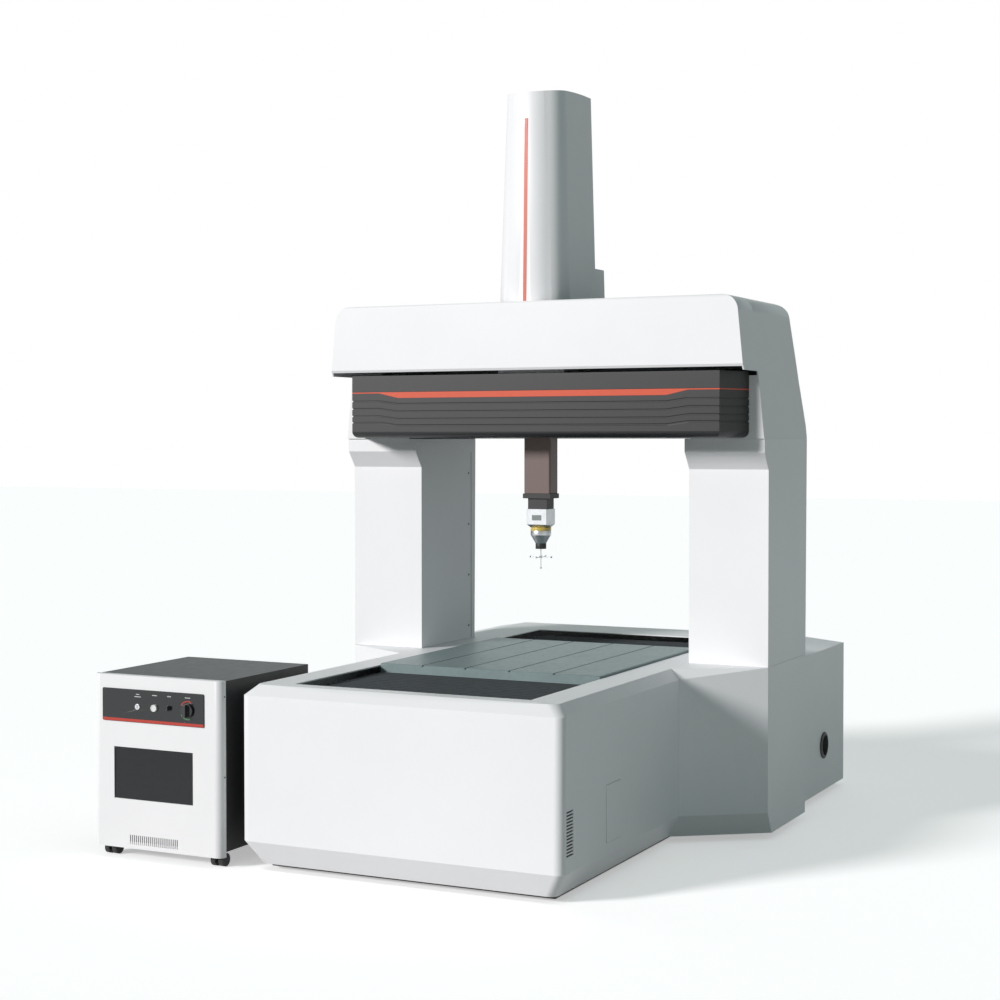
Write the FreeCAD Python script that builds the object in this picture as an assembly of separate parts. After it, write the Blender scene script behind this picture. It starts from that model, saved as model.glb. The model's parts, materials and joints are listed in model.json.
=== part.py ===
import FreeCAD, Part
import math
import os

# Coordinate measuring machine with a fixed bridge and a moving table, and its controller cabinet.
# Millimetres. X runs along the bridge, with X = 0 on the plane of symmetry. Y runs along the table's
# travel, with the operator at -Y and Y = 0 on the front faces of the columns. Z = 0 is the floor.

V = FreeCAD.Vector

# ---- shared clearances and walls ----
AIR_GAP = 0.05          # film under an air bearing pad
RUNNING_FIT = 0.05      # radial clearance of a shaft in its bearing or nut
SOFT_CLEARANCE = 0.3    # between a bellows and what it meets
SEAT = 0.3              # between a cover and the arm that carries it
COVER_WALL = 5.0        # moulded covers of the base and the bridge
FAR = 3000.0            # size of a cutting block, past everything

# ---- base ----
BASE_HALF_WIDTH = 650.0
BASE_FRONT = -1330.0
BASE_REAR = 1330.0
DECK_TOP = 691.0
EAVE = 652.0            # lower edge of the sloped border of the deck
DECK_SLOPE_WIDTH = 41.0
BASE_CORNER_R = 33.0
SKIRT_TOP = 114.0
SKIRT_BOTTOM = 26.0
SKIRT_INSET = 50.0
EAR_HALF_WIDTH = 945.0
EAR_FRONT = 0.0         # where the angled face meets the outer face
EAR_REAR = 505.0
EAR_DEPTH = 214.0       # length of the angled face along Y
REAR_HALF_WIDTH = 880.0
REAR_EAVE = 655.0
REAR_SLOPE_SIDE = 195.0
REAR_SLOPE_BACK = 115.0
FRONT_COVER_DEPTH = 106.0   # from the front face to the opening
OPENING_HALF_WIDTH = 482.0
OPENING_FRONT = BASE_FRONT + FRONT_COVER_DEPTH
OPENING_REAR = 930.0
WELL_CLEARANCE = 8.0    # round a column casting where it passes the deck

# ---- plinth and isolators ----
PLINTH_SIDE_INSET = 71.0
PLINTH_END_INSET = 100.0
PLINTH_WALL = 12.0
PLINTH_GAP = 8.0        # plinth skirt to the floor
PLINTH_LIP = 60.0
ISOLATOR_X = BASE_HALF_WIDTH - 220.0
ISOLATOR_HALF = 90.0
ISOLATOR_CHAMFER = 12.0
FOOT_HALF = 70.0
FOOT_HEIGHT = 20.0
FOOT_STEM_HALF = 30.0
FOOT_STEM_TOP = 42.0

# ---- base casting ----
CASTING_BOTTOM = 150.0
CASTING_HALF_WIDTH = BASE_HALF_WIDTH - 90.0
CASTING_END_GAP = 45.0
BED_TOP = 480.0
CASTING_WALL = 55.0
POCKET_ROWS = 6
POCKET_COLUMNS = 3
POCKET_DEPTH = 270.0
POCKET_LENGTH = (BASE_REAR - BASE_FRONT - 2 * CASTING_END_GAP) / POCKET_ROWS
ISOLATOR_Y = (-2 * POCKET_LENGTH, 0.0, 2 * POCKET_LENGTH)   # under the cross ribs
ARM_SIZE = 50.0         # arms on the castings that carry the covers
ARM_Z = 420.0
SIDE_ARM_Y = (-900.0, 900.0)
WING_TOP = 660.0
WING_OUTER = EAR_HALF_WIDTH - 20.0
WING_FRONT = 20.0
WING_DEPTH = 465.0

# ---- Y guideways, screw and motor ----
RAIL_INNER = 330.0
RAIL_WIDTH = 100.0
RAIL_HEIGHT = 75.0
RAIL_END_GAP = 20.0
SCALE_THICKNESS = 6.0
SCALE_HEIGHT = 22.0
Y_SCREW_Z = 532.0
Y_SCREW_R = 20.0
JOURNAL_R = 12.5
Y_SCREW_START = -1200.0
Y_SCREW_END = 860.0
BLOCK_LENGTH = 40.0
BLOCK_HALF_WIDTH = 42.0
MOTOR_SIZE = 90.0
MOTOR_LENGTH = 160.0
MOTOR_FLANGE = 12.0
MOTOR_CHAMFER = 10.0
MOTOR_CAP = 36.0
MOTOR_PLUG_Z = (100.0, 136.0)
MOTOR_PLUG_HALF = 14.0
SHAFT_R = 10.0
SHAFT_REACH = 30.0      # how far a screw's shaft goes into its motor

# ---- table ----
TABLE_HALF_WIDTH = 475.0
TABLE_LENGTH = 1050.0
TABLE_CENTRE_Y = -71.0
TABLE_TOP = 700.0
TABLE_THICKNESS = 58.0
TABLE_GROOVES = 4
GROOVE_PITCH = 190.0
GROOVE_WIDTH = 7.0
GROOVE_DEPTH = 6.0
INSERT_R = 3.4          # M8 x 1.25 tapping bore
INSERT_DEPTH = 20.0
INSERT_SPACING_X = 760.0
INSERT_SPACING_Y = 800.0
TABLE_CHAMFER = 3.0
SADDLE_HALF_WIDTH = 440.0
SADDLE_HALF_LENGTH = 490.0
PAD_HEIGHT = 20.0
PAD_HALF_WIDTH = 47.0
PAD_HALF_LENGTH = 70.0
PAD_Y = 380.0           # pads fore and aft of the table's centre
SADDLE_KEY_HALF_LENGTH = 230.0
SADDLE_KEY_DROP = 80.0
SIDE_PAD_THICKNESS = 18.0
SIDE_PAD_HALF = 26.0
SIDE_PAD_Y = 170.0
SIDE_PAD_Z = 523.0
NUT_WALL = 16.0
NUT_REACH = 30.0
BELLOWS_HEIGHT = 68.0
BELLOWS_TOP = 668.0
BELLOWS_SIDE_GAP = 10.0

# ---- columns ----
COLUMN_INNER = 611.0
COLUMN_DEPTH = 505.0
CORBEL_BOTTOM = 1474.0
CORBEL_TOP = 1541.0
CORBEL_REACH = 52.0
BRIDGE_SEAM = 1596.0
REAR_LEAN = 11.0        # the column's back leans outwards up to the seam
COLUMN_CASTING_MARGIN = 28.0
COLUMN_CASTING_WALL = 45.0

# ---- hood round the beam ----
HOOD_FRONT = -240.0
HOOD_TOP = 2154.0
HOOD_LIP = 1861.0
HOOD_LIP_HEIGHT = 24.0
HOOD_LIP_INSET = 12.0
HOOD_SIDE_LEAN = 0.0973     # the sides lean inwards by this much per millimetre
HOOD_CORNER_R = 65.0
HOOD_BACK = ((516.0, 1650.0), (474.0, 1829.0), (453.0, 1945.0), (424.0, 2081.0))
HOOD_BACK_TOP = 412.0
HOOD_BACK_R = 45.0
HOOD_FRONT_R = 10.0
CHEEK = -60.0               # where the front cover meets the end caps
SLOT_HALF_LENGTH = 640.0
SLOT_FRONT = -175.0
SLOT_REAR = 356.0
SLOT_BELLOWS_DROP = 8.0
SLOT_BELLOWS_HEIGHT = 28.0

# ---- fascia ----
FASCIA_FRONT = -230.0
FASCIA_BOTTOM = 1600.0
FASCIA_HALF_WIDTH = EAR_HALF_WIDTH - 124.0
FASCIA_FLARE_HALF_WIDTH = EAR_HALF_WIDTH - 62.0
FASCIA_BACK = CHEEK - SEAT
FASCIA_EDGE_R = 26.0
FASCIA_BELLY_BACK = -100.0
BAND_STEP_START = 600.0     # ribs and stripe step up between these two X
BAND_STEP_END = 690.0
BAND_STEP = 12.0
RIB_HEIGHTS = (1742.0, 1710.0, 1679.0, 1652.0)
RIB_WIDTH = 6.0
RIB_DEPTH = 3.0
STRIPE_TOP = 1792.0
STRIPE_HEIGHT = 25.0
STRIPE_THIN = 5.0
STRIPE_DEPTH = 1.5

# ---- beam ----
BEAM_BOTTOM = 1600.0
BEAM_TOP = 2040.0
BEAM_FRONT = 190.0
BEAM_BACK = 400.0
BEAM_HALF_LENGTH = EAR_HALF_WIDTH - 75.0
BEAM_WALL = 30.0
WAY_PROUD = 15.0
WAY_HEIGHT = 60.0
WAY_OVERRUN = 20.0          # of the ways past the slot
LOWER_WAY_Z = 1680.0
UPPER_WAY_Z = 1970.0
X_SCREW_Z = 1825.0
X_SCREW_Y = 215.0
X_SCREW_R = 16.0
X_SCREW_HALF_LENGTH = 690.0
CHANNEL_HALF_HEIGHT = 55.0
CHANNEL_DEPTH = 72.0
BRACKET_SIZE = 40.0         # brackets on the beam that carry the hood and the fascia
BRACKET_X = 720.0
BRACKET_CLEARANCE = 10.0
FASCIA_BRACKET_Z = 1700.0

# ---- carriage ----
RAM_X = -40.0
RAM_Y = -10.0
RAM_WIDTH = 120.0
RAM_DEPTH = 80.0
CARRIAGE_HALF_WIDTH = 150.0
CARRIAGE_FRONT = -110.0
CARRIAGE_BOTTOM = 1640.0
CARRIAGE_TOP = 2112.0
CARRIAGE_PLATE = 12.0
RAM_PAD_THICKNESS = 8.0
RAM_PAD_WIDTH = 56.0
RAM_PAD_HEIGHT = 80.0
RAM_PAD_Z = (1720.0, 2020.0)
NUT_HALF_LENGTH = 60.0
NUT_HALF_HEIGHT = 35.0
HOOK_REACH = 340.0
HOOK_PAD_Y = 300.0
X_PAD_HALF = 26.0
X_PAD_INSET = 40.0
SPINE_THICKNESS = 24.0
SPINE_HALF_WIDTH = 60.0
SPINE_GAP = 10.0
MOTOR_BRACKET_Z = 2800.0
MOTOR_BRACKET_THICKNESS = 16.0

# ---- Z cover ----
Z_COVER_HALF_WIDTH = 155.0
Z_COVER_HALF_WIDTH_TOP = 128.5
Z_COVER_FRONT = -170.0
Z_COVER_FRONT_TOP = -149.0
Z_COVER_SLANT = (90.8, 56.8)    # width and depth of the slants beside the front
Z_COVER_NOSE_R = 125.0      # between the front and a slant
Z_COVER_CHEEK_R = 98.0      # between a slant and a side
Z_COVER_BACK = 215.0
Z_COVER_TOP = 3034.0
Z_COVER_WALL = 4.0
CROWN_Z = (3004.0, 3027.0, 3034.0)  # heights of the rounded top in front, over the ram and behind
CROWN_MARGIN = 40.0
DUCT_BACK = 340.0
DUCT_BACK_TOP = 325.0
DUCT_TOP = 2317.0
DUCT_INSET = 12.0
LINE_WIDTH = 15.0
LINE_TOP = 2905.0
LINE_PROUD = 1.0

# ---- ram and probe ----
RAM_BOTTOM = 1368.0
RAM_TOP = 2700.0
RAM_CHAMFER = 5.0
RAM_NUT_Z = (2480.0, 2530.0)
Z_SCREW_Y = 110.0
Z_SCREW_R = 12.5
FLANGE_MARGIN = 3.5
FLANGE_HEIGHT = 20.0
NECK_WIDTH = 88.0
NECK_DEPTH = 68.0
NECK_HEIGHT = 44.0
HEAD_WIDTH = 91.0
HEAD_DEPTH = 86.0
HEAD_HEIGHT = 77.0
HEAD_CHAMFER = 12.0
RING_R = 43.0
RING_HEIGHT = 14.0
CONE_CYLINDER = 18.0
CONE_HEIGHT = 53.0
CONE_END_R = 22.5
MODULE_HEIGHT = 23.0
STYLUS_LENGTH = 84.0
STYLUS_STEM_R = 2.0
STYLUS_BALL_R = 4.0
STAR_DROP = 34.0
STAR_REACH = 48.0
STAR_STEM_R = 1.5
BALL_STEPS = 4          # facets of a ball from pole to pole
STAR_HUB_HALF = 5.0
FLANGE_BOTTOM = RAM_BOTTOM - FLANGE_HEIGHT
NECK_BOTTOM = FLANGE_BOTTOM - NECK_HEIGHT
HEAD_BOTTOM = NECK_BOTTOM - HEAD_HEIGHT
RING_BOTTOM = HEAD_BOTTOM - RING_HEIGHT
CONE_BOTTOM = RING_BOTTOM - CONE_HEIGHT
MODULE_BOTTOM = CONE_BOTTOM - MODULE_HEIGHT
TIP_Z = MODULE_BOTTOM - STYLUS_LENGTH

# ---- controller cabinet ----
CABINET_RIGHT = -BASE_HALF_WIDTH - 72.0
CABINET_LEFT = CABINET_RIGHT - 587.0
CABINET_FRONT = -1350.0
CABINET_DEPTH = 610.0
PANEL_BOTTOM = 41.0
CABINET_TOP = 700.0
PANEL_THICKNESS = 30.0
PANEL_CORNER_R = 29.0
PANEL_WALL = 4.0
PANEL_BACK = CABINET_FRONT + PANEL_THICKNESS
HOUSING_BOTTOM = 60.0
HOUSING_TOP = 698.0
HOUSING_WALL = 4.0
HOUSING_INSET = 4.0
WINDOW = (-1213.5, -850.5, 228.5, 426.0)    # x from, x to, z from, z to
WINDOW_THICKNESS = 3.0
WINDOW_OVERLAP = 8.0
STRIP = (-1264.0, -798.0, 524.0, 649.0)     # black control strip
STRIP_THICKNESS = 4.0
STRIP_CORNER_R = 6.0
STRIP_MARGIN = 14.0
STRIP_FACE = CABINET_FRONT - STRIP_THICKNESS
CONTROL_Z = 584.0
CONTROL_FIT = 0.08      # radial clearance of a control in the strip
COLLAR_RIM = 3.0        # square collar that keeps a control in the strip
COLLAR_THICKNESS = 3.0
KEY_X = -1099.0
KEY_R = 11.0
KEY_PROUD = 4.0
KEY_SLOT_WIDTH = 2.4
KEY_SLOT_HALF_LENGTH = 7.0
KEY_SLOT_DEPTH = 6.0
BUTTON_X = -1021.0
BUTTON_R = 13.0
BUTTON_PROUD = 8.0
BUTTON_RIM = 2.5
SELECTOR_X = -954.0
SELECTOR_R = 6.0
SELECTOR_PROUD = 5.0
LEVER_HALF_WIDTH = 2.5
LEVER_PROUD = 16.0
LEVER_Z = (-5.0, 13.0)
KNOB_X = -870.0
KNOB_STEM_R = 10.0
KNOB_R = 26.0
KNOB_PROUD = 10.0
KNOB_GAP = 1.0
GRIP_HALF_WIDTH = 6.0
GRIP_PROUD = 26.0
GRIP_INSET = 3.0
SLOT_COUNT = 24
SLOT_PITCH = 9.4
SLOT_WIDTH = 4.6
SLOT_Z = (57.0, 93.0)
SLOT_CENTRE_X = -1031.0
SHELF_Z = (262.0, 300.0)
SHELF_THICKNESS = 3.0
SHELF_SETBACK = 60.0
CASTER_INSET = 48.0     # swivel axis in from the cabinet's side
CASTER_FRONT_Y = -1272.0
CASTER_REAR_Y = -790.0
CASTER_TRAIL = 18.0     # the wheels point forward at rest
CASTER_CORE = 14.0      # arm between the twin wheels
CASTER_ARM_HALF = 10.0
CASTER_BOSS_HALF = 14.0
CASTER_BOSS_HEIGHT = 22.0
CASTER_PLATE = 8.5
STEM_R = 6.0
STEM_LENGTH = 16.0
STEM_SOCKET = 18.0
WHEEL_R = 25.0
WHEEL_WIDTH = 20.0
WHEEL_GAP = 0.5
AXLE_R = 4.0

# ---- service details on the base ----
VENT_COUNT = 14
VENT_PITCH = 11.5
VENT_LENGTH = 58.0
VENT_HEIGHT = 6.0
VENT_Y = -1297.0
VENT_Z = 172.0
HATCH = (-948.0, -816.0, 152.0, 362.0)      # y from, y to, z from, z to
HATCH_PROUD = 2.0
HATCH_GAP = 1.0
HATCH_FLANGE = 8.0
HATCH_FLANGE_THICKNESS = 3.0
PORT_Y = 1008.0
PORT_Z = 228.0
PORT_R = 59.0
PORT_INNER_R = 45.0
PORT_PROUD = 8.0
PORT_WALL = 4.0
PORT_DEPTH = 50.0


# ---- helpers ----
def box(x, y, z):
    """Box between pairs of X, Y and Z."""
    return Part.makeBox(x[1] - x[0], y[1] - y[0], z[1] - z[0], V(x[0], y[0], z[0]))


def cylinder(radius, start, end):
    """Cylinder between two points."""
    axis = V(*end) - V(*start)
    return Part.makeCylinder(radius, axis.Length, V(*start), axis)


def place(axis, level):
    """Returns a function that puts a 2-D point in the plane across an axis."""
    return {
        "x": lambda a, b: V(level, a, b),
        "y": lambda a, b: V(a, level, b),
        "z": lambda a, b: V(a, b, level),
    }[axis]


def rounded_wire(corners, put):
    """Closed wire through corners (a, b, radius)."""
    points = [put(a, b) for a, b, _ in corners]
    count = len(corners)
    starts, ends, arcs = [], [], []
    for i, (_, _, radius) in enumerate(corners):
        here = points[i]
        if radius == 0:
            starts.append(here)
            ends.append(here)
            arcs.append(None)
            continue
        before = (points[i - 1] - here).normalize()
        after = (points[(i + 1) % count] - here).normalize()
        half = before.getAngle(after) / 2
        middle = (before + after).normalize() * (radius / math.sin(half) - radius)
        starts.append(here + before * (radius / math.tan(half)))
        ends.append(here + after * (radius / math.tan(half)))
        arcs.append(Part.Arc(starts[-1], here + middle, ends[-1]).toShape())
    edges = []
    for i in range(count):
        if arcs[i]:
            edges.append(arcs[i])
        edges.append(Part.LineSegment(ends[i], starts[(i + 1) % count]).toShape())
    return Part.Wire(edges)


def extrude(corners, axis, start, end):
    """Solid from a profile of points (a, b) or rounded corners (a, b, radius), along an axis."""
    full = [c if len(c) == 3 else (*c, 0) for c in corners]
    face = Part.Face(rounded_wire(full, place(axis, start)))
    return face.extrude(place(axis, end)(0, 0) - place(axis, start)(0, 0))


def loft(lower, upper):
    """Straight-sided solid between two wires."""
    return Part.makeLoft([lower, upper], True, True)


def rectangle(x, y, z):
    """Rectangular wire at a height."""
    corners = [(x[0], y[0], 0), (x[1], y[0], 0), (x[1], y[1], 0), (x[0], y[1], 0)]
    return rounded_wire(corners, place("z", z))


def union(shapes):
    """One clean solid from touching solids."""
    return shapes[0].multiFuse(shapes[1:]).removeSplitter()


def mirrored(shape):
    """The shape on the other side of the plane of symmetry."""
    return shape.mirror(V(0, 0, 0), V(1, 0, 0))


def revolved(profile, centre, axis):
    """Solid of revolution from (radius, distance along the axis) points."""
    wire = Part.makePolygon([V(r, 0, h) for r, h in profile + profile[:1]])
    solid = Part.Face(wire).revolve(V(0, 0, 0), V(0, 0, 1), 360)
    solid.Placement = FreeCAD.Placement(V(*centre), FreeCAD.Rotation(V(0, 0, 1), V(*axis)))
    return solid


# ---- covers of the base ----
def front_outline(inset, z):
    """Outline of the front block at a height, pulled in by an inset at the front and the sides."""
    side = BASE_HALF_WIDTH - inset
    front = BASE_FRONT + inset
    corners = [(-side, front, BASE_CORNER_R), (side, front, BASE_CORNER_R)]
    corners += [(side, EAR_REAR, 0), (-side, EAR_REAR, 0)]
    return rounded_wire(corners, place("z", z))


def ear(offset):
    """Right ear under a column, with its angled front face, all faces pulled in by an offset."""
    inner, outer = BASE_HALF_WIDTH, EAR_HALF_WIDTH
    front = EAR_FRONT - EAR_DEPTH
    face = math.hypot(outer - inner, EAR_DEPTH)
    shift = offset * face / (outer - inner)
    plan = [
        (0, front + shift),
        (inner, front + shift),
        (outer - offset, EAR_FRONT + shift - offset * EAR_DEPTH / (outer - inner)),
        (outer - offset, EAR_REAR),
        (0, EAR_REAR),
    ]
    block = extrude(plan, "z", SKIRT_BOTTOM, DECK_TOP - offset)
    low = V(inner, front + shift, EAVE - offset)
    high = V(outer, EAR_FRONT + shift, DECK_TOP - offset)
    back = V(inner - DECK_SLOPE_WIDTH, front + DECK_SLOPE_WIDTH / 2 + shift, DECK_TOP - offset)
    slope = half_space(low, high, back, V(0, 0, 1))
    skirt_low = V(inner, front + shift + SKIRT_INSET, SKIRT_BOTTOM)
    skirt = half_space(V(inner, front + shift, SKIRT_TOP), V(outer, EAR_FRONT + shift, SKIRT_TOP),
                       skirt_low, V(0, -1, -1))
    return block.cut(slope).cut(skirt)


def half_space(a, b, c, side):
    """A large block on the given side of the plane through three points."""
    size = 2 * FAR
    normal = (b - a).cross(c - a).normalize()
    if normal.dot(side) < 0:
        normal = -normal
    along = (b - a).normalize()
    across = normal.cross(along)
    corner = a - along * size / 2 - across * size / 2
    points = [corner, corner + along * size, corner + along * size + across * size, corner + across * size]
    face = Part.Face(Part.makePolygon(points + points[:1]))
    return face.extrude(normal * size)


def rear_box(offset):
    """Rear block with its hipped top, pulled in by an offset."""
    side, back = REAR_HALF_WIDTH - offset, BASE_REAR - offset
    eaves, top = REAR_EAVE - offset, DECK_TOP - offset
    block = box((-side, side), (EAR_REAR - 1, back), (SKIRT_BOTTOM, top))
    flat_side, flat_back = side - REAR_SLOPE_SIDE, back - REAR_SLOPE_BACK
    side_slope = half_space(V(side, 0, eaves), V(side, 1, eaves), V(flat_side, 0, top), V(0, 0, 1))
    back_slope = half_space(V(0, back, eaves), V(1, back, eaves), V(0, flat_back, top), V(0, 0, 1))
    return block.cut(side_slope).cut(mirrored(side_slope)).cut(back_slope)


def base_body(offset):
    """The whole outer body of the base, pulled in by an offset for the inside of its covers."""
    lower = loft(front_outline(SKIRT_INSET + offset, SKIRT_BOTTOM), front_outline(offset, SKIRT_TOP))
    middle = loft(front_outline(offset, SKIRT_TOP), front_outline(offset, EAVE - offset))
    upper = loft(front_outline(offset, EAVE - offset),
                 front_outline(DECK_SLOPE_WIDTH + offset, DECK_TOP - offset))
    right = ear(offset)
    return union([lower, middle, upper, right, mirrored(right), rear_box(offset)])


def base_covers():
    """Front, left, right and rear covers, cut from one shell."""
    inner = base_body(COVER_WALL)
    inner = inner.fuse(inner.translated(V(0, 0, -COVER_WALL)))
    shell = base_body(0).cut(inner)
    opening = box((-OPENING_HALF_WIDTH, OPENING_HALF_WIDTH), (OPENING_FRONT, OPENING_REAR),
                  (EAVE - 20, DECK_TOP + 1))
    room = WELL_CLEARANCE
    well = box((COLUMN_INNER + COLUMN_CASTING_MARGIN - room, WING_OUTER + room),
               (WING_FRONT - room, WING_FRONT + WING_DEPTH + room), (EAVE, DECK_TOP + 1))
    shell = shell.cut(opening).cut(well).cut(mirrored(well))
    front = shell.common(box((-FAR, FAR), (-FAR, OPENING_FRONT), (0, FAR)))
    right = shell.common(box((0, FAR), (OPENING_FRONT, EAR_REAR), (0, FAR)))
    left = shell.common(box((-FAR, 0), (OPENING_FRONT, EAR_REAR), (0, FAR)))
    rear = shell.common(box((-FAR, FAR), (EAR_REAR, FAR), (0, FAR)))
    inside = BASE_HALF_WIDTH - COVER_WALL
    for i in range(VENT_COUNT):
        z = VENT_Z + i * VENT_PITCH
        front = front.cut(box((inside - 1, FAR), (VENT_Y, VENT_Y + VENT_LENGTH), (z, z + VENT_HEIGHT)))
    y0, y1, z0, z1 = HATCH
    right = right.cut(box((inside - 1, FAR), (y0, y1), (z0, z1)))
    gap, flange = HATCH_GAP, HATCH_FLANGE
    lid = box((inside - 1, BASE_HALF_WIDTH + HATCH_PROUD), (y0 + gap, y1 - gap), (z0 + gap, z1 - gap))
    plate = box((inside - HATCH_FLANGE_THICKNESS, inside), (y0 - flange, y1 + flange),
                (z0 - flange, z1 + flange))
    rear = rear.cut(cylinder(PORT_INNER_R + PORT_WALL, (-FAR, PORT_Y, PORT_Z), (FAR, PORT_Y, PORT_Z)))
    return front, left, right, rear, union([lid, plate])


def side_ports():
    """Ringed recesses in both sides of the rear block, where the lifting bar goes in."""
    outer, floor = PORT_INNER_R + PORT_WALL, -PORT_DEPTH
    profile = [
        (PORT_INNER_R, PORT_PROUD), (PORT_R, PORT_PROUD / 2), (PORT_R, 0), (outer, 0), (outer, floor),
        (0, floor), (0, floor + PORT_WALL), (PORT_INNER_R, floor + PORT_WALL),
    ]
    right = revolved(profile, (REAR_HALF_WIDTH, PORT_Y, PORT_Z), (1, 0, 0))
    return Part.makeCompound([right, mirrored(right)])


# ---- what carries the base ----
def plinth():
    """Black skirt frame that hides the isolators."""
    side = BASE_HALF_WIDTH - PLINTH_SIDE_INSET
    ends = (BASE_FRONT + PLINTH_END_INSET, BASE_REAR - PLINTH_END_INSET)
    outer = box((-side, side), ends, (PLINTH_GAP, CASTING_BOTTOM))
    inner = box((-side + PLINTH_WALL, side - PLINTH_WALL), (ends[0] + PLINTH_WALL, ends[1] - PLINTH_WALL),
                (0, CASTING_BOTTOM + 1))
    top = (CASTING_BOTTOM - PLINTH_WALL, CASTING_BOTTOM)
    lip = box((-side, side), (ends[0], ends[0] + PLINTH_LIP), top)
    tail = box((-side, side), (ends[1] - PLINTH_LIP, ends[1]), top)
    return union([outer.cut(inner), lip, tail])


def isolators():
    """Air springs on square feet."""
    half, foot, stem = ISOLATOR_HALF, FOOT_HALF, FOOT_STEM_HALF
    spring = box((-half, half), (-half, half), (FOOT_STEM_TOP, CASTING_BOTTOM))
    spring = spring.makeChamfer(ISOLATOR_CHAMFER, [e for e in spring.Edges if e.BoundBox.ZLength > 1])
    isolator = union([spring, box((-foot, foot), (-foot, foot), (0, FOOT_HEIGHT)),
                      box((-stem, stem), (-stem, stem), (FOOT_HEIGHT - 1, FOOT_STEM_TOP + 1))])
    places = [V(x, y, 0) for x in (-ISOLATOR_X, ISOLATOR_X) for y in ISOLATOR_Y]
    return Part.makeCompound([isolator.translated(p) for p in places])


def bearing_block(y, screw_z, floor_z, bore, length):
    """Upright on the bed with a bore along Y."""
    top = screw_z + bore + NUT_WALL
    body = box((-BLOCK_HALF_WIDTH, BLOCK_HALF_WIDTH), (y, y + length), (floor_z, top))
    return body.cut(cylinder(bore + RUNNING_FIT, (0, y - 1, screw_z), (0, y + length + 1, screw_z)))


def cover_arms():
    """Arms on the bed and its wings that reach the insides of the covers."""
    half, skin = ARM_SIZE / 2, COVER_WALL + SEAT
    z = (ARM_Z - half, ARM_Z + half)
    front, rear = BASE_FRONT + skin, BASE_REAR - skin
    arms = [box((-half, half), (front, front + 2 * CASTING_END_GAP), z),
            box((-half, half), (rear - 2 * CASTING_END_GAP, rear), z)]
    wing_y = WING_FRONT + WING_DEPTH / 2
    reaches = [(SIDE_ARM_Y[0], BASE_HALF_WIDTH), (SIDE_ARM_Y[1], REAR_HALF_WIDTH), (wing_y, EAR_HALF_WIDTH)]
    for y, reach in reaches:
        arm = box((CASTING_HALF_WIDTH - 1, reach - skin), (y - half, y + half), z)
        arms += [arm, mirrored(arm)]
    return arms


def base_casting():
    """Cast-iron bed with wings under the columns and cored pockets from below."""
    ends = (BASE_FRONT + CASTING_END_GAP, BASE_REAR - CASTING_END_GAP)
    bed = box((-CASTING_HALF_WIDTH, CASTING_HALF_WIDTH), ends, (CASTING_BOTTOM, BED_TOP))
    wings = box((-WING_OUTER, WING_OUTER), (WING_FRONT, WING_FRONT + WING_DEPTH), (CASTING_BOTTOM, BED_TOP))
    foot = box((COLUMN_INNER + COLUMN_CASTING_MARGIN, WING_OUTER), (WING_FRONT, WING_FRONT + WING_DEPTH),
               (BED_TOP - 1, WING_TOP))
    blocks = [
        bearing_block(Y_SCREW_START, Y_SCREW_Z, BED_TOP - 1, Y_SCREW_R, BLOCK_LENGTH),
        bearing_block(Y_SCREW_END, Y_SCREW_Z, BED_TOP - 1, JOURNAL_R, BLOCK_LENGTH),
    ]
    casting = union([bed, wings, foot, mirrored(foot)] + blocks + cover_arms())
    width = 2 * CASTING_HALF_WIDTH / POCKET_COLUMNS
    half = CASTING_WALL / 2
    for i in range(POCKET_COLUMNS):
        x = -CASTING_HALF_WIDTH + i * width
        for j in range(POCKET_ROWS):
            y = ends[0] + j * POCKET_LENGTH
            pocket = box((x + half, x + width - half), (y + half, y + POCKET_LENGTH - half),
                         (CASTING_BOTTOM - 1, CASTING_BOTTOM + POCKET_DEPTH))
            casting = casting.cut(pocket)
    pads = [box((x - ISOLATOR_HALF, x + ISOLATOR_HALF), (y - ISOLATOR_HALF, y + ISOLATOR_HALF),
                (CASTING_BOTTOM, CASTING_BOTTOM + CASTING_WALL))
            for x in (-ISOLATOR_X, ISOLATOR_X) for y in ISOLATOR_Y]
    return union([casting] + pads)


def y_guideways():
    """Two lapped ways for the table's air bearings."""
    ends = (OPENING_FRONT + RAIL_END_GAP, OPENING_REAR - RAIL_END_GAP)
    rail = box((RAIL_INNER, RAIL_INNER + RAIL_WIDTH), ends, (BED_TOP, BED_TOP + RAIL_HEIGHT))
    return Part.makeCompound([rail, mirrored(rail)])


def linear_scales():
    """Glass scales of the Y axis, beside a way, and of the X axis, on top of the beam."""
    ends = (OPENING_FRONT + 2 * RAIL_END_GAP, OPENING_REAR - 2 * RAIL_END_GAP)
    outer = RAIL_INNER + RAIL_WIDTH
    y_scale = box((outer, outer + SCALE_THICKNESS), ends, (BED_TOP + SCALE_HEIGHT, BED_TOP + 2 * SCALE_HEIGHT))
    x_scale_y = (BEAM_BACK - 2 * SCALE_HEIGHT, BEAM_BACK - SCALE_HEIGHT)
    x_scale = box((-SLOT_HALF_LENGTH, SLOT_HALF_LENGTH), x_scale_y, (BEAM_TOP, BEAM_TOP + SCALE_THICKNESS))
    return Part.makeCompound([y_scale, x_scale])


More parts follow.
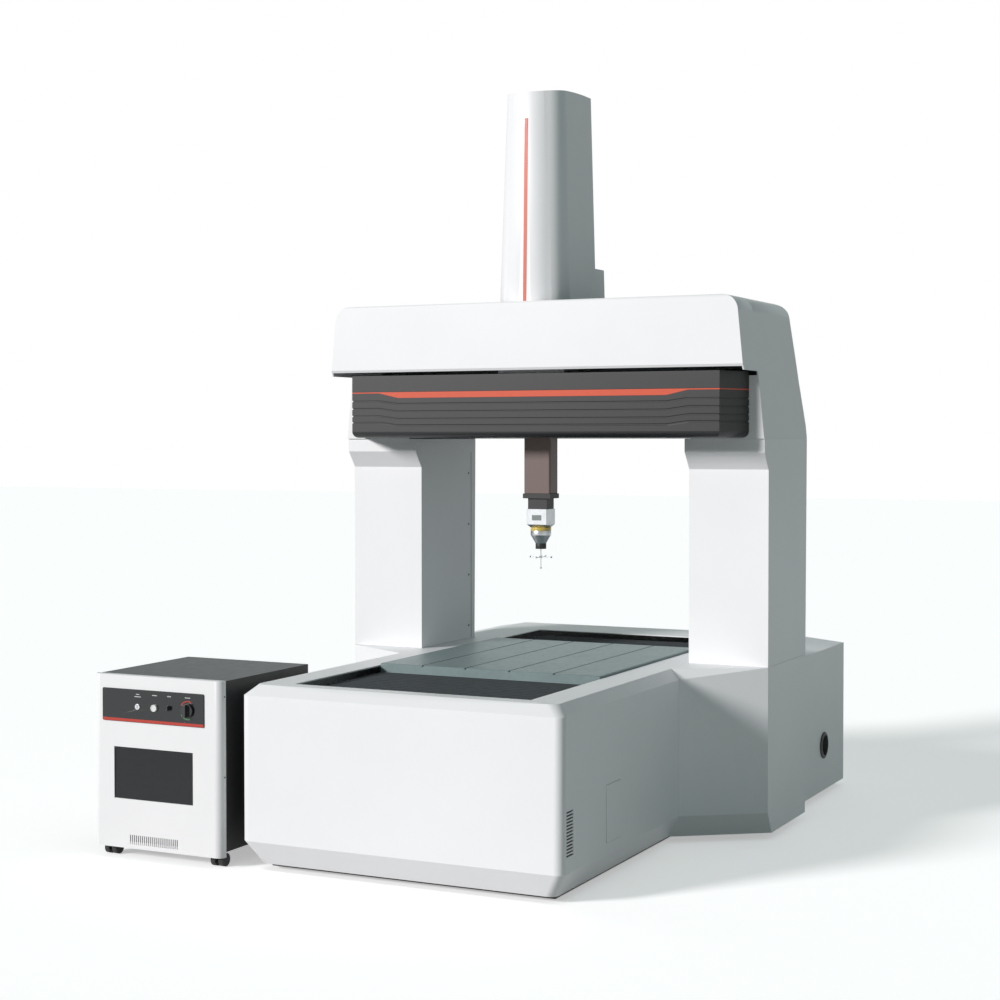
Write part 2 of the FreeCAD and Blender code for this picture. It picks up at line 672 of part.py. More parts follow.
def servo_motor():
    """Servo motor along +Z with a hollow shaft end at its origin."""
    half, body_half = MOTOR_SIZE / 2, MOTOR_SIZE / 2 - 4
    flange = box((-half, half), (-half, half), (0, MOTOR_FLANGE))
    body = box((-body_half, body_half), (-body_half, body_half), (MOTOR_FLANGE - 1, MOTOR_LENGTH - MOTOR_CAP))
    body = body.makeChamfer(MOTOR_CHAMFER, [e for e in body.Edges if e.BoundBox.ZLength > 1])
    cap_half = body_half - MOTOR_CHAMFER / 2
    cap = box((-cap_half, cap_half), (-cap_half, cap_half), (MOTOR_LENGTH - MOTOR_CAP - 1, MOTOR_LENGTH))
    plug = box((cap_half - 1, half + MOTOR_CHAMFER), (-MOTOR_PLUG_HALF, MOTOR_PLUG_HALF), MOTOR_PLUG_Z)
    bore = cylinder(SHAFT_R + RUNNING_FIT, (0, 0, -1), (0, 0, SHAFT_REACH + 5))
    return union([flange, body, cap, plug]).cut(bore)


def placed(shape, centre, axis):
    """The shape moved to a centre, with its Z turned to an axis."""
    copy = shape.copy()
    copy.Placement = FreeCAD.Placement(V(*centre), FreeCAD.Rotation(V(0, 0, 1), V(*axis)))
    return copy


def axis_motors():
    """Motors of the Y and X screws."""
    y_motor = placed(servo_motor(), (0, Y_SCREW_END + BLOCK_LENGTH, Y_SCREW_Z), (0, 1, 0))
    x_motor = placed(servo_motor(), (-X_SCREW_HALF_LENGTH, X_SCREW_Y, X_SCREW_Z), (-1, 0, 0))
    return Part.makeCompound([y_motor, x_motor])


def y_screw():
    """Ball screw of the table."""
    end = Y_SCREW_END + BLOCK_LENGTH
    screw = cylinder(Y_SCREW_R, (0, Y_SCREW_START, Y_SCREW_Z), (0, Y_SCREW_END - 1, Y_SCREW_Z))
    journal = cylinder(JOURNAL_R, (0, Y_SCREW_END - 2, Y_SCREW_Z), (0, end - 1, Y_SCREW_Z))
    shaft = cylinder(SHAFT_R, (0, end - 2, Y_SCREW_Z), (0, end + SHAFT_REACH, Y_SCREW_Z))
    return union([screw, journal, shaft])


# ---- table ----
def table_plate():
    """Cast table with four grooves and threaded inserts."""
    y = (TABLE_CENTRE_Y - TABLE_LENGTH / 2, TABLE_CENTRE_Y + TABLE_LENGTH / 2)
    plate = box((-TABLE_HALF_WIDTH, TABLE_HALF_WIDTH), y, (TABLE_TOP - TABLE_THICKNESS, TABLE_TOP))
    edges = [e for e in plate.Edges if e.BoundBox.ZMin > TABLE_TOP - 1]
    plate = plate.makeChamfer(TABLE_CHAMFER, edges)
    first = -GROOVE_PITCH * (TABLE_GROOVES - 1) / 2
    for i in range(TABLE_GROOVES):
        x = first + i * GROOVE_PITCH
        plate = plate.cut(box((x - GROOVE_WIDTH / 2, x + GROOVE_WIDTH / 2), (y[0] - 1, y[1] + 1),
                              (TABLE_TOP - GROOVE_DEPTH, TABLE_TOP + 1)))
    for x, y in insert_places():
        plate = plate.cut(cylinder(INSERT_R, (x, y, TABLE_TOP - INSERT_DEPTH), (x, y, TABLE_TOP + 1)))
    return plate


def insert_places():
    """Centre insert, and two rectangles of four, the inner one half the size of the outer one."""
    places = [(0, TABLE_CENTRE_Y)]
    for share in (0.5, 1):
        x, y = share * INSERT_SPACING_X / 2, share * INSERT_SPACING_Y / 2
        places += [(sx * x, TABLE_CENTRE_Y + sy * y) for sx in (-1, 1) for sy in (-1, 1)]
    return places


def table_saddle():
    """Plate under the table with a key between the ways and the nut of the screw."""
    top = TABLE_TOP - TABLE_THICKNESS
    bottom = BED_TOP + RAIL_HEIGHT + PAD_HEIGHT
    y = (TABLE_CENTRE_Y - SADDLE_HALF_LENGTH, TABLE_CENTRE_Y + SADDLE_HALF_LENGTH)
    plate = box((-SADDLE_HALF_WIDTH, SADDLE_HALF_WIDTH), y, (bottom, top))
    key_y = (TABLE_CENTRE_Y - SADDLE_KEY_HALF_LENGTH, TABLE_CENTRE_Y + SADDLE_KEY_HALF_LENGTH)
    half = RAIL_INNER - SIDE_PAD_THICKNESS
    key = box((-half, half), key_y, (bottom - SADDLE_KEY_DROP, bottom + 1))
    nut = cylinder(Y_SCREW_R + NUT_WALL, (0, key_y[0] - NUT_REACH, Y_SCREW_Z), (0, key_y[0] + 1, Y_SCREW_Z))
    bore = cylinder(Y_SCREW_R + RUNNING_FIT, (0, y[0] - 1, Y_SCREW_Z), (0, y[1] + 1, Y_SCREW_Z))
    return union([plate, key, nut]).cut(bore)


def table_air_bearings():
    """Pads under the saddle on both ways, and pads on the key against the ways' inner sides."""
    way_top = BED_TOP + RAIL_HEIGHT
    x = RAIL_INNER + RAIL_WIDTH / 2
    pads = []
    for side in (-1, 1):
        y = TABLE_CENTRE_Y + side * PAD_Y
        pads.append(box((x - PAD_HALF_WIDTH, x + PAD_HALF_WIDTH), (y - PAD_HALF_LENGTH, y + PAD_HALF_LENGTH),
                        (way_top + AIR_GAP, way_top + PAD_HEIGHT)))
        y = TABLE_CENTRE_Y + side * SIDE_PAD_Y
        pads.append(box((RAIL_INNER - SIDE_PAD_THICKNESS, RAIL_INNER - AIR_GAP),
                        (y - SIDE_PAD_HALF, y + SIDE_PAD_HALF),
                        (SIDE_PAD_Z - SIDE_PAD_HALF, SIDE_PAD_Z + SIDE_PAD_HALF)))
    return Part.makeCompound(pads + [mirrored(pad) for pad in pads])


def bellows(x, y, top, height):
    """Outer form of a folding bellows."""
    return box(x, y, (top - height, top))


# ---- bridge ----
def column_casting():
    """Hollow right column casting on the base's wing."""
    inner = COLUMN_INNER + COLUMN_CASTING_MARGIN
    y = (WING_FRONT, WING_FRONT + WING_DEPTH)
    outer = box((inner, WING_OUTER), y, (WING_TOP, BEAM_BOTTOM))
    w = COLUMN_CASTING_WALL
    core = box((inner + w, WING_OUTER - w), (y[0] + w, y[1] - w), (WING_TOP + w, BEAM_BOTTOM - w))
    return outer.cut(core)


def column_cover():
    """Right column cover with its corbel, a tube open at both ends."""
    back = COLUMN_DEPTH
    profile = [(0, DECK_TOP), (0, CORBEL_BOTTOM), (-CORBEL_REACH, CORBEL_TOP), (-CORBEL_REACH, BRIDGE_SEAM),
               (back + REAR_LEAN, BRIDGE_SEAM), (back, DECK_TOP)]
    outer = extrude(profile, "x", COLUMN_INNER, EAR_HALF_WIDTH)
    w = COVER_WALL
    inside = [(w, DECK_TOP - 1), (w, CORBEL_BOTTOM + w / 2), (-CORBEL_REACH + w, CORBEL_TOP + w / 2),
              (-CORBEL_REACH + w, BRIDGE_SEAM + 1), (back + REAR_LEAN - w, BRIDGE_SEAM + 1),
              (back - w, DECK_TOP - 1)]
    return outer.cut(extrude(inside, "x", COLUMN_INNER + w, EAR_HALF_WIDTH - w))


def hood_body(offset):
    """Outer body of the hood round the beam, pulled in by an offset."""
    front, top = HOOD_FRONT + offset, HOOD_TOP - offset
    cheek = CHEEK + offset
    lip = HOOD_LIP - offset / COVER_WALL
    side_view = [(cheek, BRIDGE_SEAM, 0), (cheek, lip, 0)]
    side_view += [(front + HOOD_LIP_INSET, lip, 0), (front, HOOD_LIP + HOOD_LIP_HEIGHT, 0)]
    side_view += [(front, top, HOOD_FRONT_R), (HOOD_BACK_TOP - offset, top, HOOD_BACK_R)]
    side_view += [(y - offset, z, 0) for y, z in reversed(HOOD_BACK)]
    side_view += [(HOOD_BACK[0][0] - offset, BRIDGE_SEAM, 0)]
    low = EAR_HALF_WIDTH - offset
    high = low - HOOD_SIDE_LEAN * (top - BRIDGE_SEAM)
    front_view = [(-low, BRIDGE_SEAM, 0), (low, BRIDGE_SEAM, 0), (high, top, HOOD_CORNER_R),
                  (-high, top, HOOD_CORNER_R)]
    along = extrude(side_view, "x", -EAR_HALF_WIDTH, EAR_HALF_WIDTH)
    return along.common(extrude(front_view, "y", HOOD_FRONT - 1, HOOD_BACK[0][0] + 1))


def hood():
    """Front cover, right end cap and rear cover of the hood, cut from one shell."""
    inner = hood_body(COVER_WALL)
    inner = inner.fuse(inner.translated(V(0, 0, -3 * COVER_WALL)))
    shell = hood_body(0).cut(inner)
    slot = box((-SLOT_HALF_LENGTH, SLOT_HALF_LENGTH), (SLOT_FRONT, SLOT_REAR), (BEAM_TOP, FAR))
    front = shell.common(box((-FAR, FAR), (-FAR, CHEEK), (HOOD_LIP - 2, FAR))).cut(slot)
    right = shell.common(box((SLOT_HALF_LENGTH, FAR), (CHEEK, FAR), (0, FAR)))
    reach = BRACKET_SIZE / 2 + BRACKET_CLEARANCE
    window = box((BRACKET_X - reach, BRACKET_X + reach), (CHEEK - 1, CHEEK + 2 * COVER_WALL),
                 (FASCIA_BRACKET_Z - reach, FASCIA_BRACKET_Z + reach))
    right = right.cut(window)
    rear = shell.common(box((-SLOT_HALF_LENGTH, SLOT_HALF_LENGTH), (0, FAR), (0, FAR))).cut(slot)
    return front, right, rear


def fascia_body(offset):
    """Outer body of the fascia, pulled in by an offset on its front, sides and bottom."""
    front = FASCIA_FRONT + offset
    side, flare = FASCIA_HALF_WIDTH - offset, FASCIA_FLARE_HALF_WIDTH - offset
    plan = [(-side, front), (side, front), (flare, FASCIA_BACK), (-flare, FASCIA_BACK)]
    body = extrude(plan, "z", FASCIA_BOTTOM + offset, HOOD_LIP)
    bottom = [e for e in body.Edges
              if e.BoundBox.ZMax < FASCIA_BOTTOM + offset + 1 and e.BoundBox.YMin < FASCIA_BACK - 1]
    return body.makeFillet(FASCIA_EDGE_R - offset, bottom)


def band(z_middle, height_middle, z_end, height_end):
    """Band in the XZ plane that steps from its middle height to its end height."""
    far = FASCIA_FLARE_HALF_WIDTH + 10
    lower = [(-far, z_end), (-BAND_STEP_END, z_end), (-BAND_STEP_START, z_middle)]
    lower += [(-x, z) for x, z in reversed(lower)]
    upper = [(-far, z_end + height_end), (-BAND_STEP_END, z_end + height_end)]
    upper += [(-BAND_STEP_START, z_middle + height_middle)]
    upper += [(-x, z) for x, z in reversed(upper)]
    return extrude(lower + upper[::-1], "y", FASCIA_FRONT - 10, FASCIA_BACK + 10)


def fascia_and_stripe():
    """Ribbed black fascia, and the stripe let into it."""
    outer = fascia_body(0)
    shell = outer.cut(fascia_body(COVER_WALL))
    belly = box((-SLOT_HALF_LENGTH, SLOT_HALF_LENGTH), (FASCIA_BELLY_BACK, 0), (0, FASCIA_BOTTOM + 100))
    shell = shell.cut(belly)
    skin = outer.cut(fascia_body(RIB_DEPTH))
    for z in RIB_HEIGHTS:
        groove = band(z - RIB_WIDTH / 2, RIB_WIDTH, z - RIB_WIDTH / 2 + BAND_STEP, RIB_WIDTH)
        shell = shell.cut(groove.common(skin))
    low, thin_low = STRIPE_TOP - STRIPE_HEIGHT, STRIPE_TOP - STRIPE_THIN
    stripe = band(low, STRIPE_HEIGHT, thin_low, STRIPE_THIN).common(outer.cut(fascia_body(STRIPE_DEPTH)))
    return shell.cut(stripe), stripe


def beam_brackets():
    """Brackets at both ends of the beam, up to the hood and forward to the fascia."""
    half, skin = BRACKET_SIZE / 2, COVER_WALL + SEAT
    x = (BRACKET_X - half, BRACKET_X + half)
    post = box(x, (BEAM_FRONT + half, BEAM_FRONT + 3 * half), (BEAM_TOP - 1, HOOD_TOP - skin))
    arm = box(x, (FASCIA_FRONT + skin, BEAM_FRONT + 1), (FASCIA_BRACKET_Z - half, FASCIA_BRACKET_Z + half))
    return [post, arm, mirrored(post), mirrored(arm)]


def x_beam():
    """Box-section beam with two ways on its front, a channel for the screw and lightening cores."""
    beam = box((-BEAM_HALF_LENGTH, BEAM_HALF_LENGTH), (BEAM_FRONT, BEAM_BACK), (BEAM_BOTTOM, BEAM_TOP))
    channel = box((-BEAM_HALF_LENGTH - 1, BEAM_HALF_LENGTH + 1), (BEAM_FRONT - 1, BEAM_FRONT + CHANNEL_DEPTH),
                  (X_SCREW_Z - CHANNEL_HALF_HEIGHT, X_SCREW_Z + CHANNEL_HALF_HEIGHT))
    beam = beam.cut(channel)
    reach = SLOT_HALF_LENGTH + WAY_OVERRUN
    way_y, half = (BEAM_FRONT - WAY_PROUD, BEAM_FRONT + 1), WAY_HEIGHT / 2
    ways = [box((-reach, reach), way_y, (z - half, z + half)) for z in (LOWER_WAY_Z, UPPER_WAY_Z)]
    w = BEAM_WALL
    core_y = (BEAM_FRONT + w, BEAM_BACK - w)
    gap = X_SCREW_Z - CHANNEL_HALF_HEIGHT - w, X_SCREW_Z + CHANNEL_HALF_HEIGHT + w
    cores = [box((-BEAM_HALF_LENGTH + 2 * w, BEAM_HALF_LENGTH - 2 * w), core_y, z)
             for z in ((BEAM_BOTTOM + w, gap[0]), (gap[1], BEAM_TOP - w))]
    blocks = []
    for x in (-X_SCREW_HALF_LENGTH, X_SCREW_HALF_LENGTH - BLOCK_LENGTH):
        block = box((x, x + BLOCK_LENGTH), (X_SCREW_Y - JOURNAL_R - NUT_WALL, BEAM_FRONT + CHANNEL_DEPTH + 1),
                    (X_SCREW_Z - CHANNEL_HALF_HEIGHT - 1, X_SCREW_Z + CHANNEL_HALF_HEIGHT + 1))
        hole = cylinder(JOURNAL_R + RUNNING_FIT, (x - 1, X_SCREW_Y, X_SCREW_Z),
                        (x + BLOCK_LENGTH + 1, X_SCREW_Y, X_SCREW_Z))
        blocks.append(block.cut(hole))
    solid = union([beam] + ways + blocks + beam_brackets())
    for core in cores:
        solid = solid.cut(core)
    return solid


def x_screw():
    """Ball screw of the carriage."""
    ends = X_SCREW_HALF_LENGTH - BLOCK_LENGTH
    at = (X_SCREW_Y, X_SCREW_Z)
    screw = cylinder(X_SCREW_R, (-ends + 1, *at), (ends - 1, *at))
    journals = cylinder(JOURNAL_R, (-X_SCREW_HALF_LENGTH + 1, *at), (X_SCREW_HALF_LENGTH, *at))
    shaft = cylinder(SHAFT_R, (-X_SCREW_HALF_LENGTH - SHAFT_REACH, *at), (-X_SCREW_HALF_LENGTH + 2, *at))
    return union([screw, journals, shaft])


# ---- carriage ----
def carriage():
    """Bearing housing of the ram, with its hook over the beam, nut, top plate and spine."""
    x = (RAM_X - CARRIAGE_HALF_WIDTH, RAM_X + CARRIAGE_HALF_WIDTH)
    back = BEAM_FRONT - WAY_PROUD - PAD_HEIGHT
    housing = box(x, (CARRIAGE_FRONT, back), (CARRIAGE_BOTTOM, CARRIAGE_TOP - 1))
    hook_bottom = BEAM_TOP + PAD_HEIGHT
    hook = box(x, (back - 1, HOOK_REACH), (hook_bottom, CARRIAGE_TOP - CARRIAGE_PLATE + 1))
    plate_x = (RAM_X - Z_COVER_HALF_WIDTH, RAM_X + Z_COVER_HALF_WIDTH)
    plate = box(plate_x, (Z_COVER_FRONT, HOOK_REACH), (CARRIAGE_TOP - CARRIAGE_PLATE, CARRIAGE_TOP))
    nut_y = (back - 1, X_SCREW_Y + X_SCREW_R + NUT_WALL)
    nut = box((RAM_X - NUT_HALF_LENGTH, RAM_X + NUT_HALF_LENGTH), nut_y,
              (X_SCREW_Z - NUT_HALF_HEIGHT, X_SCREW_Z + NUT_HALF_HEIGHT))
    spine_back = Z_COVER_BACK - Z_COVER_WALL - SPINE_GAP
    spine_x = (RAM_X - SPINE_HALF_WIDTH, RAM_X + SPINE_HALF_WIDTH)
    bracket_top = MOTOR_BRACKET_Z + MOTOR_BRACKET_THICKNESS
    spine = box(spine_x, (spine_back - SPINE_THICKNESS, spine_back), (CARRIAGE_TOP - 1, bracket_top))
    bracket = box(spine_x, (Z_SCREW_Y - MOTOR_SIZE / 2, spine_back), (MOTOR_BRACKET_Z, bracket_top))
    solid = union([housing, hook, plate, nut, spine, bracket])
    gap = RAM_PAD_THICKNESS + AIR_GAP
    half_w, half_d = RAM_WIDTH / 2 + gap, RAM_DEPTH / 2 + gap
    solid = solid.cut(box((RAM_X - half_w, RAM_X + half_w), (RAM_Y - half_d, RAM_Y + half_d),
                          (CARRIAGE_BOTTOM - 1, CARRIAGE_TOP + 1)))
    solid = solid.cut(cylinder(X_SCREW_R + RUNNING_FIT, (x[0] - 1, X_SCREW_Y, X_SCREW_Z),
                               (x[1] + 1, X_SCREW_Y, X_SCREW_Z)))
    return solid.cut(cylinder(Z_SCREW_R + RUNNING_FIT, (RAM_X, Z_SCREW_Y, CARRIAGE_TOP - 2 * CARRIAGE_PLATE),
                              (RAM_X, Z_SCREW_Y, bracket_top + 1)))


def carriage_air_bearings():
    """Pads round the ram, against the beam's ways and on top of the beam."""
    pads, half = [], RAM_PAD_WIDTH / 2
    for z in RAM_PAD_Z:
        height = (z - RAM_PAD_HEIGHT / 2, z + RAM_PAD_HEIGHT / 2)
        for side in (-1, 1):
            face, back = AIR_GAP, AIR_GAP + RAM_PAD_THICKNESS
            x = sorted(RAM_X + side * (RAM_WIDTH / 2 + gap) for gap in (face, back))
            y = sorted(RAM_Y + side * (RAM_DEPTH / 2 + gap) for gap in (face, back))
            pads.append(box(x, (RAM_Y - half, RAM_Y + half), height))
            pads.append(box((RAM_X - half, RAM_X + half), y, height))
    back = BEAM_FRONT - WAY_PROUD - PAD_HEIGHT
    for side in (-1, 1):
        middle = RAM_X + side * (CARRIAGE_HALF_WIDTH - X_PAD_INSET)
        x = (middle - X_PAD_HALF, middle + X_PAD_HALF)
        for z in (LOWER_WAY_Z, UPPER_WAY_Z):
            pads.append(box(x, (back, back + PAD_HEIGHT - AIR_GAP), (z - X_PAD_HALF, z + X_PAD_HALF)))
        pads.append(box(x, (HOOK_PAD_Y - X_PAD_HALF, HOOK_PAD_Y + X_PAD_HALF),
                        (BEAM_TOP + AIR_GAP, BEAM_TOP + PAD_HEIGHT)))
    return Part.makeCompound(pads)


def rounded_uprights(body, radius, y_from, y_to):
    """The body with its upright edges between two depths rounded."""
    edges = [e for e in body.Edges
             if e.BoundBox.ZLength > 1 and e.BoundBox.YMin > y_from and e.BoundBox.YMax < y_to]
    return body.makeFillet(radius, edges)


def z_cover_body(offset):
    """Outer body of the Z cover, pulled in by an offset, with a top that falls to the front."""
    low, high = CARRIAGE_TOP, Z_COVER_TOP
    half_low, half_high = Z_COVER_HALF_WIDTH - offset, Z_COVER_HALF_WIDTH_TOP - offset
    front_view = [(RAM_X - half_low, low), (RAM_X + half_low, low), (RAM_X + half_high, high),
                  (RAM_X - half_high, high)]
    side_view = [(Z_COVER_FRONT + offset, low), (Z_COVER_BACK - offset, low), (Z_COVER_BACK - offset, high),
                 (Z_COVER_FRONT_TOP + offset, high)]
    body = extrude(front_view, "y", -FAR, FAR).common(extrude(side_view, "x", -FAR, FAR))
    width, depth = Z_COVER_SLANT
    angle = math.atan2(depth, width)
    inwards = V(-math.sin(angle), math.cos(angle), 0) * offset
    low_nose = V(Z_COVER_HALF_WIDTH - width, Z_COVER_FRONT, low) + inwards
    high_nose = V(Z_COVER_HALF_WIDTH_TOP - width, Z_COVER_FRONT_TOP, high) + inwards
    slant = half_space(low_nose, low_nose + V(width, depth, 0), high_nose, V(0, -1, 0))
    for side in (slant, mirrored(slant)):
        body = body.cut(side.translated(V(RAM_X, 0, 0)))
    body = rounded_uprights(body, Z_COVER_NOSE_R - offset, Z_COVER_FRONT - 10, Z_COVER_FRONT_TOP + 10)
    body = rounded_uprights(body, Z_COVER_CHEEK_R - offset, Z_COVER_FRONT + depth - 5, RAM_Y)
    ends = (Z_COVER_FRONT - CROWN_MARGIN, RAM_Y, Z_COVER_BACK + CROWN_MARGIN)
    front, middle, back = [V(-FAR, y, z - offset) for y, z in zip(ends, CROWN_Z)]
    crown = Part.Arc(front, middle, back).toShape()
    lid = Part.Wire([crown, Part.makePolygon([back, back + V(0, 0, FAR), front + V(0, 0, FAR), front])])
    return body.cut(Part.Face(lid).extrude(V(2 * FAR, 0, 0)))


def z_cover():
    """Tall cover of the Z axis with the duct behind its foot."""
    w = Z_COVER_WALL
    inner = z_cover_body(w)
    shell = z_cover_body(0).cut(inner.fuse(inner.translated(V(0, 0, -2 * w))))
    half = Z_COVER_HALF_WIDTH - DUCT_INSET
    x, low, high = (RAM_X - half, RAM_X + half), CARRIAGE_TOP, DUCT_TOP
    duct_side = [(Z_COVER_BACK - 1, low), (DUCT_BACK, low), (DUCT_BACK_TOP, high), (Z_COVER_BACK - 1, high)]
    hollow = [(Z_COVER_BACK - 2, low - 1), (DUCT_BACK - w, low - 1), (DUCT_BACK_TOP - w, high - w),
              (Z_COVER_BACK - 2, high - w)]
    duct = extrude(duct_side, "x", *x).cut(extrude(hollow, "x", x[0] + w, x[1] - w))
    mouth = box((x[0] + 3 * w, x[1] - 3 * w), (Z_COVER_BACK - 2 * w, Z_COVER_BACK + 2), (low - 1, high - 8 * w))
    return union([shell, duct]).cut(mouth)


def z_cover_line():
    """Raised line down the front of the Z cover."""
    strip = box((RAM_X - LINE_WIDTH / 2, RAM_X + LINE_WIDTH / 2), (Z_COVER_FRONT - 20, RAM_Y),
                (CARRIAGE_TOP + 2, LINE_TOP))
    return strip.common(z_cover_body(-LINE_PROUD)).cut(z_cover_body(0))


def z_motor():
    """Motor of the Z screw on the spine's bracket."""
    return placed(servo_motor(), (RAM_X, Z_SCREW_Y, MOTOR_BRACKET_Z + MOTOR_BRACKET_THICKNESS), (0, 0, 1))


def z_screw():
    """Ball screw of the ram."""
    at = (RAM_X, Z_SCREW_Y)
    top = MOTOR_BRACKET_Z + MOTOR_BRACKET_THICKNESS
    screw = cylinder(Z_SCREW_R, (*at, CARRIAGE_TOP - CARRIAGE_PLATE), (*at, top - 1))
    shaft = cylinder(SHAFT_R, (*at, top - 2), (*at, top + SHAFT_REACH))
    return union([screw, shaft])


# ---- ram and probe ----
def ram():
    """Square ram with chamfered corners and the nut bracket of its screw."""
    w, d, c = RAM_WIDTH / 2, RAM_DEPTH / 2, RAM_CHAMFER
    plan = [(-w + c, -d), (w - c, -d), (w, -d + c), (w, d - c), (w - c, d), (-w + c, d), (-w, d - c),
            (-w, -d + c)]
    bar = extrude([(RAM_X + x, RAM_Y + y) for x, y in plan], "z", RAM_BOTTOM, RAM_TOP)
    half = Z_SCREW_R + NUT_WALL
    arm = box((RAM_X - half, RAM_X + half), (RAM_Y + d - 1, Z_SCREW_Y + half), RAM_NUT_Z)
    bore = cylinder(Z_SCREW_R + RUNNING_FIT, (RAM_X, Z_SCREW_Y, RAM_NUT_Z[0] - 1),
                    (RAM_X, Z_SCREW_Y, RAM_NUT_Z[1] + 1))
    return union([bar, arm]).cut(bore)


def centred(width, depth, z):
    """Box about the ram's axis."""
    return box((RAM_X - width / 2, RAM_X + width / 2), (RAM_Y - depth / 2, RAM_Y + depth / 2), z)


def ram_flange():
    """Black flange and neck between the ram and the probe head."""
    flange = centred(RAM_WIDTH + 2 * FLANGE_MARGIN, RAM_DEPTH + 2 * FLANGE_MARGIN, (FLANGE_BOTTOM, RAM_BOTTOM))
    return union([flange, centred(NECK_WIDTH, NECK_DEPTH, (NECK_BOTTOM, FLANGE_BOTTOM + 1))])


def probe_head():
    """Silver probe head with chamfered lower edges."""
    head = centred(HEAD_WIDTH, HEAD_DEPTH, (HEAD_BOTTOM, NECK_BOTTOM))
    return head.makeChamfer(HEAD_CHAMFER, [e for e in head.Edges if e.BoundBox.ZMax < HEAD_BOTTOM + 1])


def probe_disc(radius, bottom, top):
    """Round probe part about the ram's axis."""
    return cylinder(radius, (RAM_X, RAM_Y, bottom), (RAM_X, RAM_Y, top))


def probe_cone():
    """Grey cone of the scanning probe."""
    height = CONE_HEIGHT - CONE_CYLINDER
    cone = Part.makeCone(CONE_END_R, RING_R, height, V(RAM_X, RAM_Y, CONE_BOTTOM))
    return union([cone, probe_disc(RING_R, CONE_BOTTOM + height, RING_BOTTOM)])


def stylus_arm(start, reach):
    """Arm with a ball at its end, turned in one piece."""
    r, thin, end = STYLUS_BALL_R, STAR_STEM_R, reach.Length
    angles = [math.pi * i / BALL_STEPS for i in range(1, BALL_STEPS)]
    ball = [(r * math.sin(a), end + r * math.cos(a)) for a in angles]
    profile = [(0, ball[0][1])] + ball + [(thin, ball[-1][1]), (thin, 0), (0, 0)]
    return revolved(profile, start, reach)


def stylus():
    """Five-way star stylus with balls."""
    star, half = V(RAM_X, RAM_Y, MODULE_BOTTOM - STAR_DROP), STAR_HUB_HALF
    stem = cylinder(STYLUS_STEM_R, star, (RAM_X, RAM_Y, MODULE_BOTTOM))
    hub = box((star.x - half, star.x + half), (star.y - half, star.y + half), (star.z - half, star.z + half))
    down = star.z - TIP_Z - STYLUS_BALL_R
    arms = [V(0, 0, -down)] + [V(x, y, 0) * STAR_REACH for x, y in ((1, 0), (-1, 0), (0, 1), (0, -1))]
    return union([stem, hub] + [stylus_arm(star, arm) for arm in arms])


# ---- controller cabinet ----
def cabinet_front_panel():
    """White moulded front with rounded sides, window, vents and a seat for the control strip."""
    r = PANEL_CORNER_R
    plan = [(CABINET_LEFT, CABINET_FRONT, r), (CABINET_RIGHT, CABINET_FRONT, r), (CABINET_RIGHT, PANEL_BACK, 0),
            (CABINET_LEFT, PANEL_BACK, 0)]
    panel = extrude(plan, "z", PANEL_BOTTOM, CABINET_TOP)
    w = PANEL_WALL
    hollow = [(CABINET_LEFT + w, CABINET_FRONT + w, r - w), (CABINET_RIGHT - w, CABINET_FRONT + w, r - w),
              (CABINET_RIGHT - w, PANEL_BACK + 1, 0), (CABINET_LEFT + w, PANEL_BACK + 1, 0)]
    panel = panel.cut(extrude(hollow, "z", PANEL_BOTTOM + w, CABINET_TOP - w))
    x0, x1, z0, z1 = WINDOW
    panel = panel.cut(box((x0, x1), (CABINET_FRONT - 1, CABINET_FRONT + w + 1), (z0, z1)))
    x0, x1, z0, z1 = STRIP
    m = STRIP_MARGIN
    panel = panel.cut(box((x0 + m, x1 - m), (CABINET_FRONT - 1, CABINET_FRONT + w + 1), (z0 + m, z1 - m)))
    first = SLOT_CENTRE_X - SLOT_PITCH * (SLOT_COUNT - 1) / 2
    for i in range(SLOT_COUNT):
        x = first + i * SLOT_PITCH
        slot = box((x - SLOT_WIDTH / 2, x + SLOT_WIDTH / 2), (CABINET_FRONT - 1, CABINET_FRONT + w + 1), SLOT_Z)
        panel = panel.cut(slot)
    return panel


def cabinet_window():
    """Dark pane behind the window opening."""
    x0, x1, z0, z1 = WINDOW
    y, m = CABINET_FRONT + PANEL_WALL, WINDOW_OVERLAP
    return box((x0 - m, x1 + m), (y, y + WINDOW_THICKNESS), (z0 - m, z1 + m))


def control_strip():
    """Black control strip with a hole for each control."""
    x0, x1, z0, z1 = STRIP
    r = STRIP_CORNER_R
    strip = extrude([(x0, z0, r), (x1, z0, r), (x1, z1, r), (x0, z1, r)], "y", STRIP_FACE, CABINET_FRONT)
    for x, radius in ((KEY_X, KEY_R), (BUTTON_X, BUTTON_R), (SELECTOR_X, SELECTOR_R), (KNOB_X, KNOB_STEM_R)):
        strip = strip.cut(cylinder(radius + CONTROL_FIT, (x, STRIP_FACE - 1, CONTROL_Z),
                                   (x, CABINET_FRONT + 1, CONTROL_Z)))
    return strip


def control(x, radius, proud):
    """Round control through the strip: a head that stands proud and a square collar behind."""
    half, back = radius + COLLAR_RIM, CABINET_FRONT + SOFT_CLEARANCE
    head = cylinder(radius, (x, STRIP_FACE - proud, CONTROL_Z), (x, back + 1, CONTROL_Z))
    collar = box((x - half, x + half), (back, back + COLLAR_THICKNESS), (CONTROL_Z - half, CONTROL_Z + half))
    return union([head, collar])


def key_switch():
    """Key lock barrel with its slot."""
    half, face = KEY_SLOT_WIDTH / 2, STRIP_FACE - KEY_PROUD
    slot = box((KEY_X - half, KEY_X + half), (face - 1, face + KEY_SLOT_DEPTH),
               (CONTROL_Z - KEY_SLOT_HALF_LENGTH, CONTROL_Z + KEY_SLOT_HALF_LENGTH))
    return control(KEY_X, KEY_R, KEY_PROUD).cut(slot)


